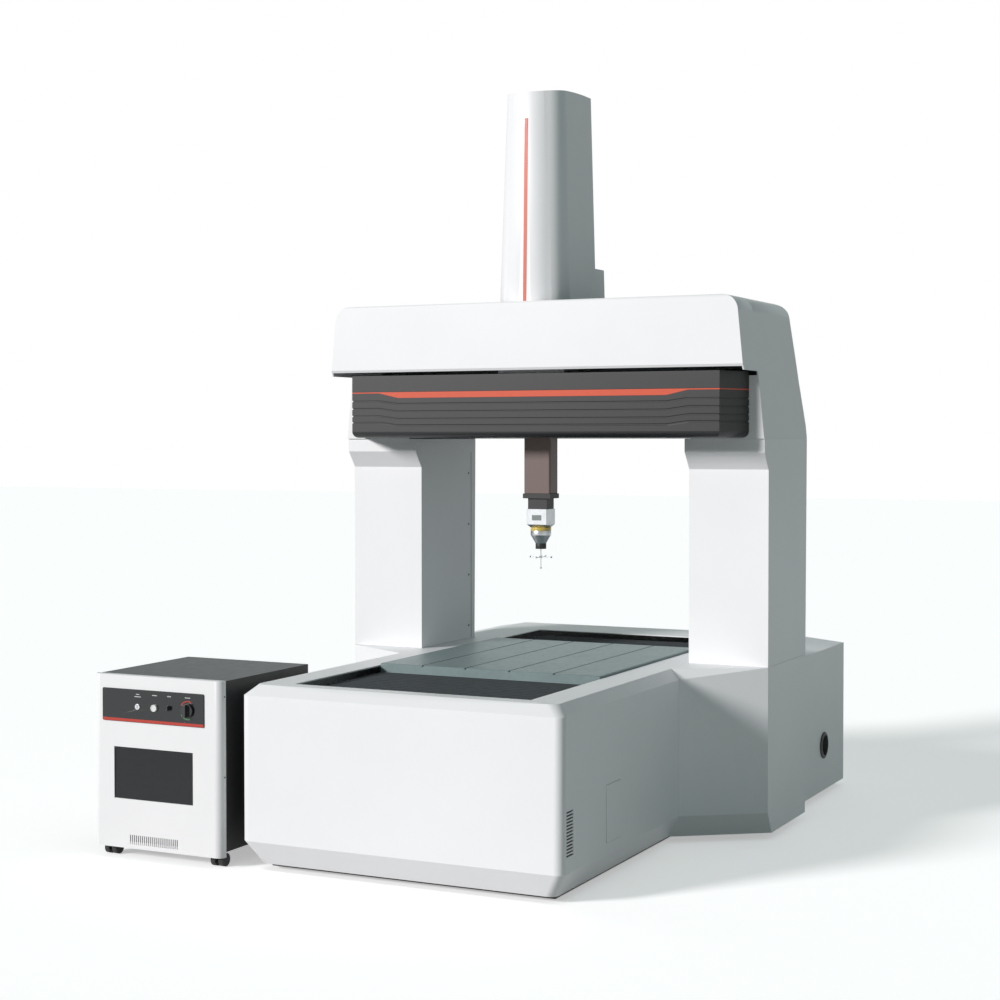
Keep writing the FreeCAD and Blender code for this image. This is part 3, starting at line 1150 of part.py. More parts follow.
def push_button():
    """White push-button with a recessed face."""
    face = STRIP_FACE - BUTTON_PROUD
    recess = cylinder(BUTTON_R - BUTTON_RIM, (BUTTON_X, face - 1, CONTROL_Z), (BUTTON_X, face + 1, CONTROL_Z))
    return control(BUTTON_X, BUTTON_R, BUTTON_PROUD).cut(recess)


def selector_switch():
    """Small selector with a lever."""
    half, y = LEVER_HALF_WIDTH, (STRIP_FACE - LEVER_PROUD, STRIP_FACE - SELECTOR_PROUD + 1)
    lever = box((SELECTOR_X - half, SELECTOR_X + half), y, (CONTROL_Z + LEVER_Z[0], CONTROL_Z + LEVER_Z[1]))
    return union([control(SELECTOR_X, SELECTOR_R, SELECTOR_PROUD), lever])


def power_knob():
    """Round power knob with a grip bar."""
    half, reach, face = GRIP_HALF_WIDTH, KNOB_R - GRIP_INSET, STRIP_FACE - KNOB_PROUD
    dial = cylinder(KNOB_R, (KNOB_X, face, CONTROL_Z), (KNOB_X, STRIP_FACE - KNOB_GAP, CONTROL_Z))
    grip = box((KNOB_X - half, KNOB_X + half), (STRIP_FACE - GRIP_PROUD, face + 1),
               (CONTROL_Z - reach, CONTROL_Z + reach))
    return union([control(KNOB_X, KNOB_STEM_R, KNOB_GAP + 1), dial, grip])


def cabinet_housing():
    """Black housing with shelves behind the window and bosses for the casters."""
    i, w = HOUSING_INSET, HOUSING_WALL
    x = (CABINET_LEFT + i, CABINET_RIGHT - i)
    y = (PANEL_BACK, CABINET_FRONT + CABINET_DEPTH)
    z = (HOUSING_BOTTOM, HOUSING_TOP)
    shell = box(x, y, z).cut(box((x[0] + w, x[1] - w), (y[0] + w, y[1] - w), (z[0] + w, z[1] - w)))
    x0, x1, z0, z1 = WINDOW
    m = WINDOW_OVERLAP
    shell = shell.cut(box((x0 - m, x1 + m), (y[0] - 1, y[0] + w + 1), (z0 - m, z1 + m)))
    shelves = [box((x[0] + w - 1, x[1] - w + 1), (y[0] + SHELF_SETBACK, y[1] - w + 1), (s, s + SHELF_THICKNESS))
               for s in SHELF_Z]
    half, top = CASTER_BOSS_HALF, HOUSING_BOTTOM + CASTER_BOSS_HEIGHT
    bosses = [box((cx - half, cx + half), (cy - half, cy + half), (HOUSING_BOTTOM, top))
              for cx, cy in caster_places()]
    body = union([shell] + shelves + bosses)
    for cx, cy in caster_places():
        body = body.cut(cylinder(STEM_R + RUNNING_FIT, (cx, cy, HOUSING_BOTTOM - 1),
                                 (cx, cy, HOUSING_BOTTOM + STEM_SOCKET)))
    return body


def caster_places():
    """Swivel axes of the four casters: front left, front right, rear left, rear right."""
    return [(x, y) for y in (CASTER_FRONT_Y, CASTER_REAR_Y)
            for x in (CABINET_LEFT + CASTER_INSET, CABINET_RIGHT - CASTER_INSET)]


def caster_swivel(x, y):
    """Arm between the twin wheels, with its plate and stem."""
    axle_y, half, reach = y - CASTER_TRAIL, CASTER_CORE / 2, CASTER_ARM_HALF
    plate, plate_bottom = CASTER_BOSS_HALF, HOUSING_BOTTOM - CASTER_PLATE
    arm = union([
        box((x - half, x + half), (axle_y - reach, y + reach), (WHEEL_R - reach, plate_bottom + 1)),
        box((x - plate, x + plate), (y - plate, y + plate), (plate_bottom, HOUSING_BOTTOM - SEAT)),
        cylinder(STEM_R, (x, y, HOUSING_BOTTOM - 1), (x, y, HOUSING_BOTTOM + STEM_LENGTH)),
    ])
    ends = (x - half - 1, axle_y, WHEEL_R), (x + half + 1, axle_y, WHEEL_R)
    return arm.cut(cylinder(AXLE_R + RUNNING_FIT, *ends))


def caster_wheels(x, y):
    """Twin wheels on their axle, which turns in the arm."""
    centre, near, far = (y - CASTER_TRAIL, WHEEL_R), CASTER_CORE / 2 + WHEEL_GAP, CASTER_CORE / 2 + WHEEL_WIDTH
    return union([
        cylinder(WHEEL_R, (x - far, *centre), (x - near, *centre)),
        cylinder(AXLE_R, (x - near - 1, *centre), (x + near + 1, *centre)),
        cylinder(WHEEL_R, (x + near, *centre), (x + far, *centre)),
    ])


# ---- the whole machine ----
def build():
    """Every node of the machine by its name."""
    front, left, right, rear, hatch = base_covers()
    hood_front, hood_right, hood_rear = hood()
    fascia, stripe = fascia_and_stripe()
    column = column_casting()
    right_column = column_cover()
    table_front = TABLE_CENTRE_Y - TABLE_LENGTH / 2
    table_rear = TABLE_CENTRE_Y + TABLE_LENGTH / 2
    gap = SOFT_CLEARANCE
    across = (-OPENING_HALF_WIDTH + BELLOWS_SIDE_GAP, OPENING_HALF_WIDTH - BELLOWS_SIDE_GAP)
    front_y, rear_y = (OPENING_FRONT + gap, table_front - gap), (table_rear + gap, OPENING_REAR - gap)
    slot_y = (SLOT_FRONT + gap, SLOT_REAR - gap)
    slot_left = (-SLOT_HALF_LENGTH + gap, RAM_X - Z_COVER_HALF_WIDTH - gap)
    slot_right = (RAM_X + Z_COVER_HALF_WIDTH + gap, SLOT_HALF_LENGTH - gap)
    slot_top, slot_height = HOOD_TOP - SLOT_BELLOWS_DROP, SLOT_BELLOWS_HEIGHT
    nodes = {
        "plinth": plinth(),
        "isolators": isolators(),
        "base_casting": base_casting(),
        "front_cover": front,
        "left_side_cover": left,
        "right_side_cover": right,
        "rear_cover": rear,
        "service_hatch": hatch,
        "side_ports": side_ports(),
        "y_guideways": y_guideways(),
        "linear_scales": linear_scales(),
        "axis_motors": axis_motors(),
        "column_castings": Part.makeCompound([column, mirrored(column)]),
        "left_column_cover": mirrored(right_column),
        "right_column_cover": right_column,
        "x_beam": x_beam(),
        "beam_front_cover": hood_front,
        "left_beam_cap": mirrored(hood_right),
        "right_beam_cap": hood_right,
        "beam_rear_cover": hood_rear,
        "fascia": fascia,
        "accent_stripe": stripe,
        "y_screw": y_screw(),
        "x_screw": x_screw(),
        "table_plate": table_plate(),
        "table_saddle": table_saddle(),
        "table_air_bearings": table_air_bearings(),
        "front_bellows": bellows(across, front_y, BELLOWS_TOP, BELLOWS_HEIGHT),
        "rear_bellows": bellows(across, rear_y, BELLOWS_TOP, BELLOWS_HEIGHT),
        "x_carriage": carriage(),
        "carriage_air_bearings": carriage_air_bearings(),
        "z_cover": z_cover(),
        "z_cover_line": z_cover_line(),
        "z_motor": z_motor(),
        "z_screw": z_screw(),
        "left_slot_bellows": bellows(slot_left, slot_y, slot_top, slot_height),
        "right_slot_bellows": bellows(slot_right, slot_y, slot_top, slot_height),
        "ram": ram(),
        "ram_flange": ram_flange(),
        "probe_head": probe_head(),
        "probe_ring": probe_disc(RING_R, RING_BOTTOM, HEAD_BOTTOM),
        "probe_cone": probe_cone(),
        "stylus_module": probe_disc(CONE_END_R, MODULE_BOTTOM, CONE_BOTTOM),
        "stylus": stylus(),
        "cabinet_housing": cabinet_housing(),
        "cabinet_front_panel": cabinet_front_panel(),
        "cabinet_window": cabinet_window(),
        "control_strip": control_strip(),
        "key_switch": key_switch(),
        "push_button": push_button(),
        "selector_switch": selector_switch(),
        "power_knob": power_knob(),
    }
    names = ("front_left", "front_right", "rear_left", "rear_right")
    for name, (x, y) in zip(names, caster_places()):
        nodes[name + "_caster"] = caster_swivel(x, y)
        nodes[name + "_wheels"] = caster_wheels(x, y)
    return nodes


os.makedirs("parts", exist_ok=True)
for node_name, shape in build().items():
    if not shape.isValid() or shape.Volume <= 0:
        raise ValueError(node_name + " is not a valid solid")
    shape.exportStep("parts/" + node_name + ".step")
    print(node_name, len(shape.Solids), round(shape.Volume / 1e6, 3), "litres")
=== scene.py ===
import bpy, bmesh, json, math
from mathutils import Matrix, Vector


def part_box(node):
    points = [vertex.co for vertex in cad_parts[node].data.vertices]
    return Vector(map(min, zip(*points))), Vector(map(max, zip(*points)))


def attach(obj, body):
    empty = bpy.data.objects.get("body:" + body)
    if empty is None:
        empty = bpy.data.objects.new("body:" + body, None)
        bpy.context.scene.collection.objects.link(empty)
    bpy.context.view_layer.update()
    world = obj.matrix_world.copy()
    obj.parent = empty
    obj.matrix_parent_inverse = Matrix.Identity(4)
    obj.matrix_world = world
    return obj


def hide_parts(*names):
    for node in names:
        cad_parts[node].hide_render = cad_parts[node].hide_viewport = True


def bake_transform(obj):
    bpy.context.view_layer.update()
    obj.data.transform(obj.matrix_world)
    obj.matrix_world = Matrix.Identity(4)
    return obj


# Fixed-bridge coordinate measuring machine with a moving table, and its controller cabinet.
# Metres. X runs along the bridge, Y along the table's travel, Z up, with the floor at Z = 0.

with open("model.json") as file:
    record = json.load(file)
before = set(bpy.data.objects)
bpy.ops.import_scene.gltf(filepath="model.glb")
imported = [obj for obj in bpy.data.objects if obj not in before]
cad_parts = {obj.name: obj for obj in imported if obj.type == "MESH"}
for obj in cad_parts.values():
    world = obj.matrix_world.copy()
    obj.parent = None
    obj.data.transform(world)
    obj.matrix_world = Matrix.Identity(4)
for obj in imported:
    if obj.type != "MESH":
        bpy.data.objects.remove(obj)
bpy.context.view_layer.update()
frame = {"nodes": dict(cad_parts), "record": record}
MM = 0.001


# ---- shader maths ----
class Wire:
    """Output of a shader node. Arithmetic on wires adds Math nodes."""

    def __init__(self, shader, socket):
        self.shader, self.socket = shader, socket

    def _math(self, operation, *values):
        return self.shader.node("ShaderNodeMath", {"operation": operation}, dict(enumerate(values)))

    def __add__(self, other):
        return self._math("ADD", self, other)

    def __radd__(self, other):
        return self._math("ADD", other, self)

    def __sub__(self, other):
        return self._math("SUBTRACT", self, other)

    def __rsub__(self, other):
        return self._math("SUBTRACT", other, self)

    def __mul__(self, other):
        return self._math("MULTIPLY", self, other)

    def __rmul__(self, other):
        return self._math("MULTIPLY", other, self)

    def above(self, level):
        return self._math("GREATER_THAN", self, level)

    def larger(self, other):
        return self._math("MAXIMUM", self, other)


class Shader:
    """Material or world whose nodes are added one expression at a time."""

    def __init__(self, name, kind=bpy.data.materials):
        self.owner = kind.new(name)
        self.owner.use_nodes = True
        self.tree = self.owner.node_tree
        self.tree.nodes.clear()
        self.place = self.node("ShaderNodeTexCoord", output="Object")

    def node(self, kind, settings=None, values=None, output=0):
        """Adds a node with its settings, then its inputs by name or number.

        Returns one of its outputs, or the node itself where it has none."""
        made = self.tree.nodes.new(kind)
        for key, value in (settings or {}).items():
            if key == "stops":
                ramp = made.color_ramp
                while len(ramp.elements) < len(value):
                    ramp.elements.new(0.5)
                for element, (position, colour) in zip(ramp.elements, value):
                    element.position, element.color = position, colour
            else:
                setattr(made, key, value)
        for key, value in (values or {}).items():
            socket = made.inputs[key]
            if isinstance(value, Wire):
                self.tree.links.new(value.socket, socket)
            else:
                socket.default_value = value
        return Wire(self, made.outputs[output]) if made.outputs else made

    def noise(self, scale, detail=2.0, roughness=0.5, place=None):
        """Noise on Object coordinates, or on coordinates made from them."""
        values = {"Vector": place or self.place, "Scale": scale, "Detail": detail, "Roughness": roughness}
        return self.node("ShaderNodeTexNoise", None, values)

    def stretched(self, x, y, z):
        """Object coordinates multiplied along each axis."""
        return self.node("ShaderNodeVectorMath", {"operation": "MULTIPLY"}, {0: self.place, 1: (x, y, z)})

    def mix(self, share, first, second):
        """Colour between two colours."""
        settings = {"data_type": "RGBA"}
        return self.node("ShaderNodeMix", settings, {0: share, 6: first, 7: second}, output=2)

    def spread(self, wire, low, high):
        """A wire's middle range stretched to 0 to 1."""
        values = {"Value": wire, "From Min": low, "From Max": high}
        return self.node("ShaderNodeMapRange", {"clamp": True}, values)

    def bump(self, height, strength, distance):
        """Surface direction from a height."""
        values = {"Height": height, "Strength": strength, "Distance": distance}
        return self.node("ShaderNodeBump", None, values)

    def ray(self, kind):
        """1 where a ray of this kind looks at the shader."""
        return self.node("ShaderNodeLightPath", output=f"Is {kind} Ray")

    def surface(self, **sockets):
        """Principled surface from its sockets, with underscores for spaces, and the finished material."""
        values = {key.replace("_", " "): value for key, value in sockets.items()}
        bsdf = self.node("ShaderNodeBsdfPrincipled", None, values)
        self.node("ShaderNodeOutputMaterial", None, {"Surface": bsdf})
        return self.owner


def grey(level):
    """Neutral colour."""
    return (level, level, level, 1)


def shade(colour, factor):
    """Colour made lighter or darker."""
    return tuple(c * factor for c in colour[:3]) + (1,)


# ---- finishes ----
def powder_coat(name, colour, roughness, grain=900.0, depth=0.00006, strength=0.25, drift=0.97, coat=0.0):
    """Sprayed paint with a fine orange-peel skin and slow changes of tone."""
    s = Shader(name)
    tone = s.spread(s.noise(2.3, 3.0), 0.3, 0.7)
    fine = s.noise(grain, 1.0)
    wave = s.noise(grain / 7, 2.0)
    return s.surface(
        Base_Color=s.mix(tone, shade(colour, drift), colour),
        Roughness=s.noise(35.0, 3.0) * 0.10 + (roughness - 0.05),
        Coat_Weight=coat,
        Coat_Roughness=0.12,
        Normal=s.bump(fine * 0.6 + wave * 0.4, strength, depth),
    )


def scraped_iron(name, colour, roughness):
    """Ground and hand-scraped casting: faint crescent flakes over a fine grinding grain."""
    s = Shader(name)
    cloud = s.spread(s.noise(5.0, 4.0), 0.3, 0.7)
    flakes = s.node("ShaderNodeTexVoronoi", {"feature": "F1"},
                    {"Vector": s.stretched(60, 38, 50), "Scale": 1.0})
    grain = s.noise(1.0, 2.0, place=s.stretched(1800, 90, 900))
    return s.surface(
        Base_Color=s.mix(cloud * 0.7 + flakes * 0.3, shade(colour, 0.88), shade(colour, 1.08)),
        Roughness=flakes * 0.12 + grain * 0.10 + (roughness - 0.1),
        Metallic=0.25,
        Normal=s.bump(grain * 0.6 + flakes * 0.4, 0.18, 0.00008),
    )


def ground_metal(name, colour, roughness, along=(40, 1500, 1500)):
    """Machined metal with grinding lines across one direction."""
    s = Shader(name)
    lines = s.noise(1.0, 3.0, 0.6, place=s.stretched(*along))
    stain = s.spread(s.noise(14.0, 3.0), 0.3, 0.7)
    return s.surface(
        Base_Color=s.mix(stain, shade(colour, 0.85), colour),
        Metallic=1.0,
        Roughness=lines * 0.22 + (roughness - 0.1),
        Normal=s.bump(lines, 0.12, 0.00005),
    )


def rough_casting(name, colour, roughness):
    """Primed sand casting."""
    s = Shader(name)
    sand = s.noise(260.0, 4.0, 0.7)
    tone = s.spread(s.noise(7.0, 4.0), 0.3, 0.7)
    return s.surface(
        Base_Color=s.mix(tone, shade(colour, 0.8), shade(colour, 1.1)),
        Roughness=sand * 0.15 + roughness,
        Normal=s.bump(sand, 0.5, 0.0006),
    )


def coated_ceramic(name, colour, roughness):
    """Hard coat on the ram, speckled, with fine lapping marks along its length."""
    s = Shader(name)
    speck = s.spread(s.noise(1400.0, 2.0), 0.42, 0.58)
    lap = s.noise(1.0, 2.0, place=s.stretched(1300, 1300, 30))
    return s.surface(
        Base_Color=s.mix(speck, shade(colour, 0.84), shade(colour, 1.12)),
        Roughness=lap * 0.15 + roughness,
        Normal=s.bump(lap, 0.10, 0.00004),
    )


def moulded(name, colour, roughness, grain=700.0, depth=0.0001, coat=0.0):
    """Moulded plastic with a spark-eroded skin."""
    s = Shader(name)
    skin = s.noise(grain, 2.0)
    tone = s.spread(s.noise(12.0, 3.0), 0.3, 0.7)
    return s.surface(
        Base_Color=s.mix(tone, shade(colour, 0.88), shade(colour, 1.06)),
        Roughness=skin * 0.12 + (roughness - 0.04),
        Coat_Weight=coat,
        Normal=s.bump(skin, 0.2, depth),
    )


def rubber(name, colour, roughness):
    """Dusty rubber."""
    s = Shader(name)
    skin = s.noise(500.0, 3.0)
    dust = s.spread(s.noise(25.0, 4.0), 0.45, 0.75)
    return s.surface(
        Base_Color=s.mix(dust, colour, shade(colour, 1.7)),
        Roughness=dust * 0.12 + roughness,
        Normal=s.bump(skin, 0.3, 0.0002),
    )


def coated_fabric(name, colour, roughness):
    """Coated cloth of a bellows, with its weave showing through the coat."""
    s = Shader(name)
    warp = s.node("ShaderNodeTexWave", {"bands_direction": "X"}, {"Vector": s.place, "Scale": 160.0})
    weft = s.node("ShaderNodeTexWave", {"bands_direction": "Y"}, {"Vector": s.place, "Scale": 160.0})
    lint = s.spread(s.noise(30.0, 5.0), 0.4, 0.75)
    weave = warp * weft
    return s.surface(
        Base_Color=s.mix(lint, colour, shade(colour, 1.5)),
        Roughness=lint * 0.1 + weave * 0.08 + roughness,
        Normal=s.bump(weave, 0.25, 0.0002),
    )


def smoked_sheet(name, colour, roughness, alpha):
    """Smoked acrylic window."""
    s = Shader(name)
    film = s.noise(6.0, 3.0)
    return s.surface(
        Base_Color=s.mix(film, shade(colour, 0.8), shade(colour, 1.2)),
        Roughness=film * 0.05 + roughness,
        Alpha=alpha,
    )


def print_ink(name, colour):
    """Screen-printed ink."""
    s = Shader(name)
    ink = s.noise(900.0, 2.0)
    return s.surface(Base_Color=s.mix(ink, shade(colour, 0.9), colour), Roughness=ink * 0.1 + 0.35)


finishes = {
    "white_paint": powder_coat("white_paint", (0.86, 0.865, 0.88, 1), 0.42),
    "cabinet_white": powder_coat("cabinet_white", (0.86, 0.86, 0.87, 1), 0.38, grain=1100.0),
    "black_paint": powder_coat("black_paint", (0.008, 0.0085, 0.0095, 1), 0.42, depth=0.00008,
                               drift=0.8),
    "orange_paint": powder_coat("orange_paint", (0.66, 0.075, 0.022, 1), 0.36, coat=0.2),
    "cast_grey": rough_casting("cast_grey", (0.17, 0.19, 0.19, 1), 0.5),
    "table_iron": scraped_iron("table_iron", (0.205, 0.27, 0.275, 1), 0.42),
    "ground_steel": ground_metal("ground_steel", (0.5, 0.51, 0.52, 1), 0.3),
    "scale_glass": moulded("scale_glass", (0.55, 0.6, 0.58, 1), 0.15, coat=0.5),
    "isolator_rubber": rubber("isolator_rubber", (0.018, 0.018, 0.018, 1), 0.7),
    "bearing_aluminium": ground_metal("bearing_aluminium", (0.6, 0.61, 0.63, 1), 0.35),
    "bellows_fabric": coated_fabric("bellows_fabric", (0.018, 0.024, 0.027, 1), 0.5),
    "carriage_aluminium": ground_metal("carriage_aluminium", (0.56, 0.57, 0.58, 1), 0.4),
    "motor_black": moulded("motor_black", (0.02, 0.02, 0.022, 1), 0.45),
    "ram_coating": coated_ceramic("ram_coating", (0.155, 0.105, 0.095, 1), 0.35),
    "black_plastic": moulded("black_plastic", (0.014, 0.014, 0.016, 1), 0.5),
    "satin_silver": ground_metal("satin_silver", (0.62, 0.64, 0.66, 1), 0.32, (1200, 1200, 60)),
    "yellow_plastic": moulded("yellow_plastic", (0.62, 0.45, 0.08, 1), 0.35, coat=0.3),
    "stylus_steel": ground_metal("stylus_steel", (0.5, 0.5, 0.52, 1), 0.3, (900, 900, 900)),
    "smoked_window": smoked_sheet("smoked_window", (0.012, 0.014, 0.016, 1), 0.07, 0.82),
    "black_gloss": moulded("black_gloss", (0.008, 0.008, 0.010, 1), 0.22, grain=1500.0, depth=0.00003,
                           coat=0.4),
    "key_chrome": ground_metal("key_chrome", (0.75, 0.76, 0.78, 1), 0.22, (700, 700, 700)),
    "white_button": moulded("white_button", (0.82, 0.82, 0.82, 1), 0.3, coat=0.3),
    "dark_knob": moulded("dark_knob", (0.02, 0.02, 0.022, 1), 0.42),
    "caster_black": moulded("caster_black", (0.014, 0.014, 0.015, 1), 0.45),
    "caster_tread": rubber("caster_tread", (0.02, 0.02, 0.021, 1), 0.6),
}

# Edge radius of each finish, in millimetres.
EDGE_R = {"white_paint": 2.0, "cabinet_white": 1.5, "table_iron": 1.0, "black_paint": 1.2,
          "ram_coating": 1.5, "orange_paint": 0.5, "satin_silver": 1.5, "black_plastic": 1.0,
          "black_gloss": 0.8, "dark_knob": 1.0, "key_chrome": 0.8, "white_button": 1.5,
          "caster_black": 1.0, "caster_tread": 2.5, "yellow_plastic": 1.0,
          "carriage_aluminium": 1.0, "motor_black": 1.5}
SHARP = math.radians(25)
TOUCHING = 1e-6     # vertices nearer than this are one


def soften(node, radius):
    """Rounds the sharp edges of a CAD node."""
    weld = node.modifiers.new("weld", "WELD")
    weld.merge_threshold = TOUCHING
    bevel = node.modifiers.new("bevel", "BEVEL")
    bevel.width, bevel.segments = radius * MM, 2
    bevel.limit_method, bevel.angle_limit = "ANGLE", SHARP


for part in frame["record"]["subparts"]:
    node, finish = frame["nodes"][part["node"]], part["material_slot"]
    for place in node.material_slots:
        place.material = finishes[finish]
    if finish in EDGE_R:
        soften(node, EDGE_R[finish])


# ---- mesh helpers ----
def finish_piece(mesh, name, body, material):
    """Object from a bmesh, riding on a body."""
    bmesh.ops.remove_doubles(mesh, verts=mesh.verts, dist=TOUCHING)
    bmesh.ops.recalc_face_normals(mesh, faces=mesh.faces)
    data = bpy.data.meshes.new(name)
    mesh.to_mesh(data)
    mesh.free()
    data.materials.append(material)
    piece = bpy.data.objects.new(name, data)
    bpy.context.scene.collection.objects.link(piece)
    if body:
        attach(piece, body)
    return piece


def block(low, high, bevel=0.0, segments=2):
    """Box between two corners, with rounded edges."""
    mesh = bmesh.new()
    size = Vector(high) - Vector(low)
    centre = (Vector(high) + Vector(low)) / 2
    bmesh.ops.create_cube(mesh, size=1.0, matrix=Matrix.Translation(centre) @ Matrix.Diagonal((*size, 1)))
    if bevel:
        bmesh.ops.bevel(mesh, geom=mesh.edges[:], offset=bevel, segments=segments, affect="EDGES",
                        profile=0.5, material=-1)
    return mesh


# ---- bellows ----
FOLD_DEPTH = 22 * MM
FOLD_SKIRT = 2 * MM     # below the valleys
RIDGE_R = 3.0 * MM


def fold(low, high, axis, top, bottom):
    """One fold of a bellows: a ridge between two valleys, closed below."""
    mesh = bmesh.new()
    across = 1 - axis
    middle = (low[axis] + high[axis]) / 2
    valley = top - FOLD_DEPTH
    section = [(low[axis], bottom), (low[axis], valley), (middle, top), (high[axis], valley),
               (high[axis], bottom)]
    ring = []
    for along, z in section:
        point = Vector((0, 0, z))
        point[axis], point[across] = along, low[across]
        ring.append(mesh.verts.new(point))
    face = mesh.faces.new(ring)
    step = Vector((0, 0, 0))
    step[across] = high[across] - low[across]
    swept = bmesh.ops.extrude_face_region(mesh, geom=[face])
    moved = [v for v in swept["geom"] if isinstance(v, bmesh.types.BMVert)]
    bmesh.ops.translate(mesh, vec=step, verts=moved)
    ridge = [e for e in mesh.edges if all(abs(v.co.z - top) < TOUCHING for v in e.verts)]
    bmesh.ops.bevel(mesh, geom=ridge, offset=RIDGE_R, segments=3, affect="EDGES", profile=0.5,
                    material=-1)
    return mesh


def follow_share(piece, at, fixed_end, moving_end, axis):
    """Works out where one fold's blend would start and end for its own share of the slide's travel, then
    only bakes the fold's transform; nothing makes the fold move.

    The blend's weight would rise as a smooth step, so its inverse gives the turn where the weight is the
    share, and the span makes the weight's slope there that of an even row of folds."""
    share = (at - fixed_end) / (moving_end - fixed_end)
    turn = 0.5 - math.sin(math.asin(1 - 2 * share) / 3)
    span = 6 * turn * (1 - turn) * (moving_end - fixed_end)
    start, end = Vector((0, 0, 0)), Vector((0, 0, 0))
    start[axis] = at - turn * span
    end[axis] = start[axis] + span
    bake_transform(piece)


def bellows(node, count, axis, fixed_low, name):
    """Row of still folds in the space of a bellows node, which it hides; the folds ride on no body and
    don't follow the travel.
    """
    low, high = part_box(node)
    fixed_end, moving_end = (low[axis], high[axis]) if fixed_low else (high[axis], low[axis])
    pitch = (high[axis] - low[axis]) / count
    for i in range(count):
        near, far = low.copy(), high.copy()
        near[axis] = low[axis] + i * pitch
        far[axis] = near[axis] + pitch
        mesh = fold(near, far, axis, high.z, high.z - FOLD_DEPTH - FOLD_SKIRT)
        piece = finish_piece(mesh, f"{name}_{i + 1:02d}", None, finishes["bellows_fabric"])
        follow_share(piece, (near[axis] + far[axis]) / 2, fixed_end, moving_end, axis)
        if i == 0:
            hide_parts(node)


bellows("front_bellows", 16, 1, True, "front_fold")
bellows("rear_bellows", 12, 1, False, "rear_fold")
bellows("left_slot_bellows", 15, 0, True, "left_slot_fold")
bellows("right_slot_bellows", 17, 0, False, "right_slot_fold")


# ---- control strip print ----
strip_low, strip_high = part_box("control_strip")
FRONT = strip_low.y
PRINT = 0.4 * MM        # how far print stands proud
PRINT_ROOT = 0.1 * MM   # and how far it goes in
LINE_MARGIN = 1 * MM
LINE_TOP = 12 * MM
ARC_R = 34 * MM
ARC_WIDTH = 4 * MM
LABEL_HEIGHT = 3 * MM
LABEL_DROP = 18 * MM    # from the strip's top to the first row
LABEL_PITCH = 9 * MM


def printed(name, x, z, material):
    """Raised print on the control strip."""
    mesh = block((x[0], FRONT - PRINT, z[0]), (x[1], FRONT + PRINT_ROOT, z[1]), PRINT / 3, 1)
    return finish_piece(mesh, name, "machine", material)


red_ink = print_ink("red_ink", (0.50, 0.035, 0.018, 1))
white_ink = print_ink("white_ink", (0.6, 0.6, 0.6, 1))
green_ink = print_ink("green_ink", (0.06, 0.22, 0.07, 1))
printed("control_strip_line", (strip_low.x + LINE_MARGIN, strip_high.x - LINE_MARGIN),
        (strip_low.z + LINE_MARGIN, strip_low.z + LINE_TOP), red_ink)


def arc(name, centre, start, end, material):
    """Printed arc round a control, between two angles in degrees."""
    mesh = bmesh.new()
    start, end = math.radians(start), math.radians(end)
    inner, outer = ARC_R - ARC_WIDTH / 2, ARC_R + ARC_WIDTH / 2
    section = [(inner, FRONT + PRINT_ROOT), (outer, FRONT + PRINT_ROOT), (outer, FRONT - PRINT),
               (inner, FRONT - PRINT)]
    ring = [mesh.verts.new((centre[0] + r, y, centre[1])) for r, y in section]
    face = mesh.faces.new(ring)
    pivot = Vector((centre[0], 0, centre[1]))
    bmesh.ops.rotate(mesh, verts=mesh.verts, cent=pivot, matrix=Matrix.Rotation(-start, 3, "Y"))
    bmesh.ops.spin(mesh, geom=[face], cent=pivot, axis=(0, -1, 0), angle=end - start, steps=24,
                   use_duplicate=False)
    return finish_piece(mesh, name, "machine", material)


knob_low, knob_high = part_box("power_knob")
knob_centre = ((knob_low.x + knob_high.x) / 2, (knob_low.z + knob_high.z) / 2)
arc("knob_off_arc", knob_centre, 60, 150, red_ink)
arc("knob_on_arc", knob_centre, 210, 290, green_ink)


# Widths of the bars above each control, in millimetres, from the top row down.
LABELS = {"key_switch": (16, 30), "push_button": (22,), "selector_switch": (18,), "power_knob": (24,)}
for control, widths in LABELS.items():
    low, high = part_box(control)
    middle = (low.x + high.x) / 2
    for row, width in enumerate(widths):
        x = (middle - width * MM / 2, middle + width * MM / 2)
        z = strip_high.z - LABEL_DROP - row * LABEL_PITCH
        printed(f"{control}_label_{row + 1}", x, (z - LABEL_HEIGHT / 2, z + LABEL_HEIGHT / 2), white_ink)


# ---- window fasteners and panel screws ----
def disc(name, centre, axis, radius, thickness, body, material):
    """Flat round head on a face, its axis along X or Y."""
    mesh = bmesh.new()
    turn = Matrix.Rotation(math.pi / 2, 4, "Y" if axis == 0 else "X")
    bmesh.ops.create_cone(mesh, cap_ends=True, segments=32, radius1=radius, radius2=radius, depth=thickness,
                          matrix=Matrix.Translation(centre) @ turn)
    rim = [e for e in mesh.edges if e.is_manifold and e.calc_face_angle(0) > SHARP]
    bmesh.ops.bevel(mesh, geom=rim, offset=thickness / 4, segments=2, affect="EDGES", profile=0.5,
                    material=-1)
    return finish_piece(mesh, name, body, material)


FASTENER_INSET = 14 * MM
window_low, window_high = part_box("cabinet_window")
for i, x in enumerate((window_low.x + FASTENER_INSET, window_high.x - FASTENER_INSET)):
    for j, z in enumerate((window_low.z + FASTENER_INSET, window_high.z - FASTENER_INSET)):
        disc(f"window_fastener_{i}{j}", (x, window_low.y - 0.5 * MM, z), 1, 3.5 * MM, 2 * MM, "machine",
             finishes["black_plastic"])

PROUD = 0.3 * MM        # of a screw's middle from the face that it sits in
panel_low, panel_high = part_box("cabinet_front_panel")
for i, z in enumerate((0.3, 0.6)):
    place = (panel_high.x + PROUD, panel_high.y - 8 * MM, panel_low.z + z)
    disc(f"panel_screw_{i}", place, 0, 3 * MM, 1.5 * MM, "machine", finishes["dark_knob"])

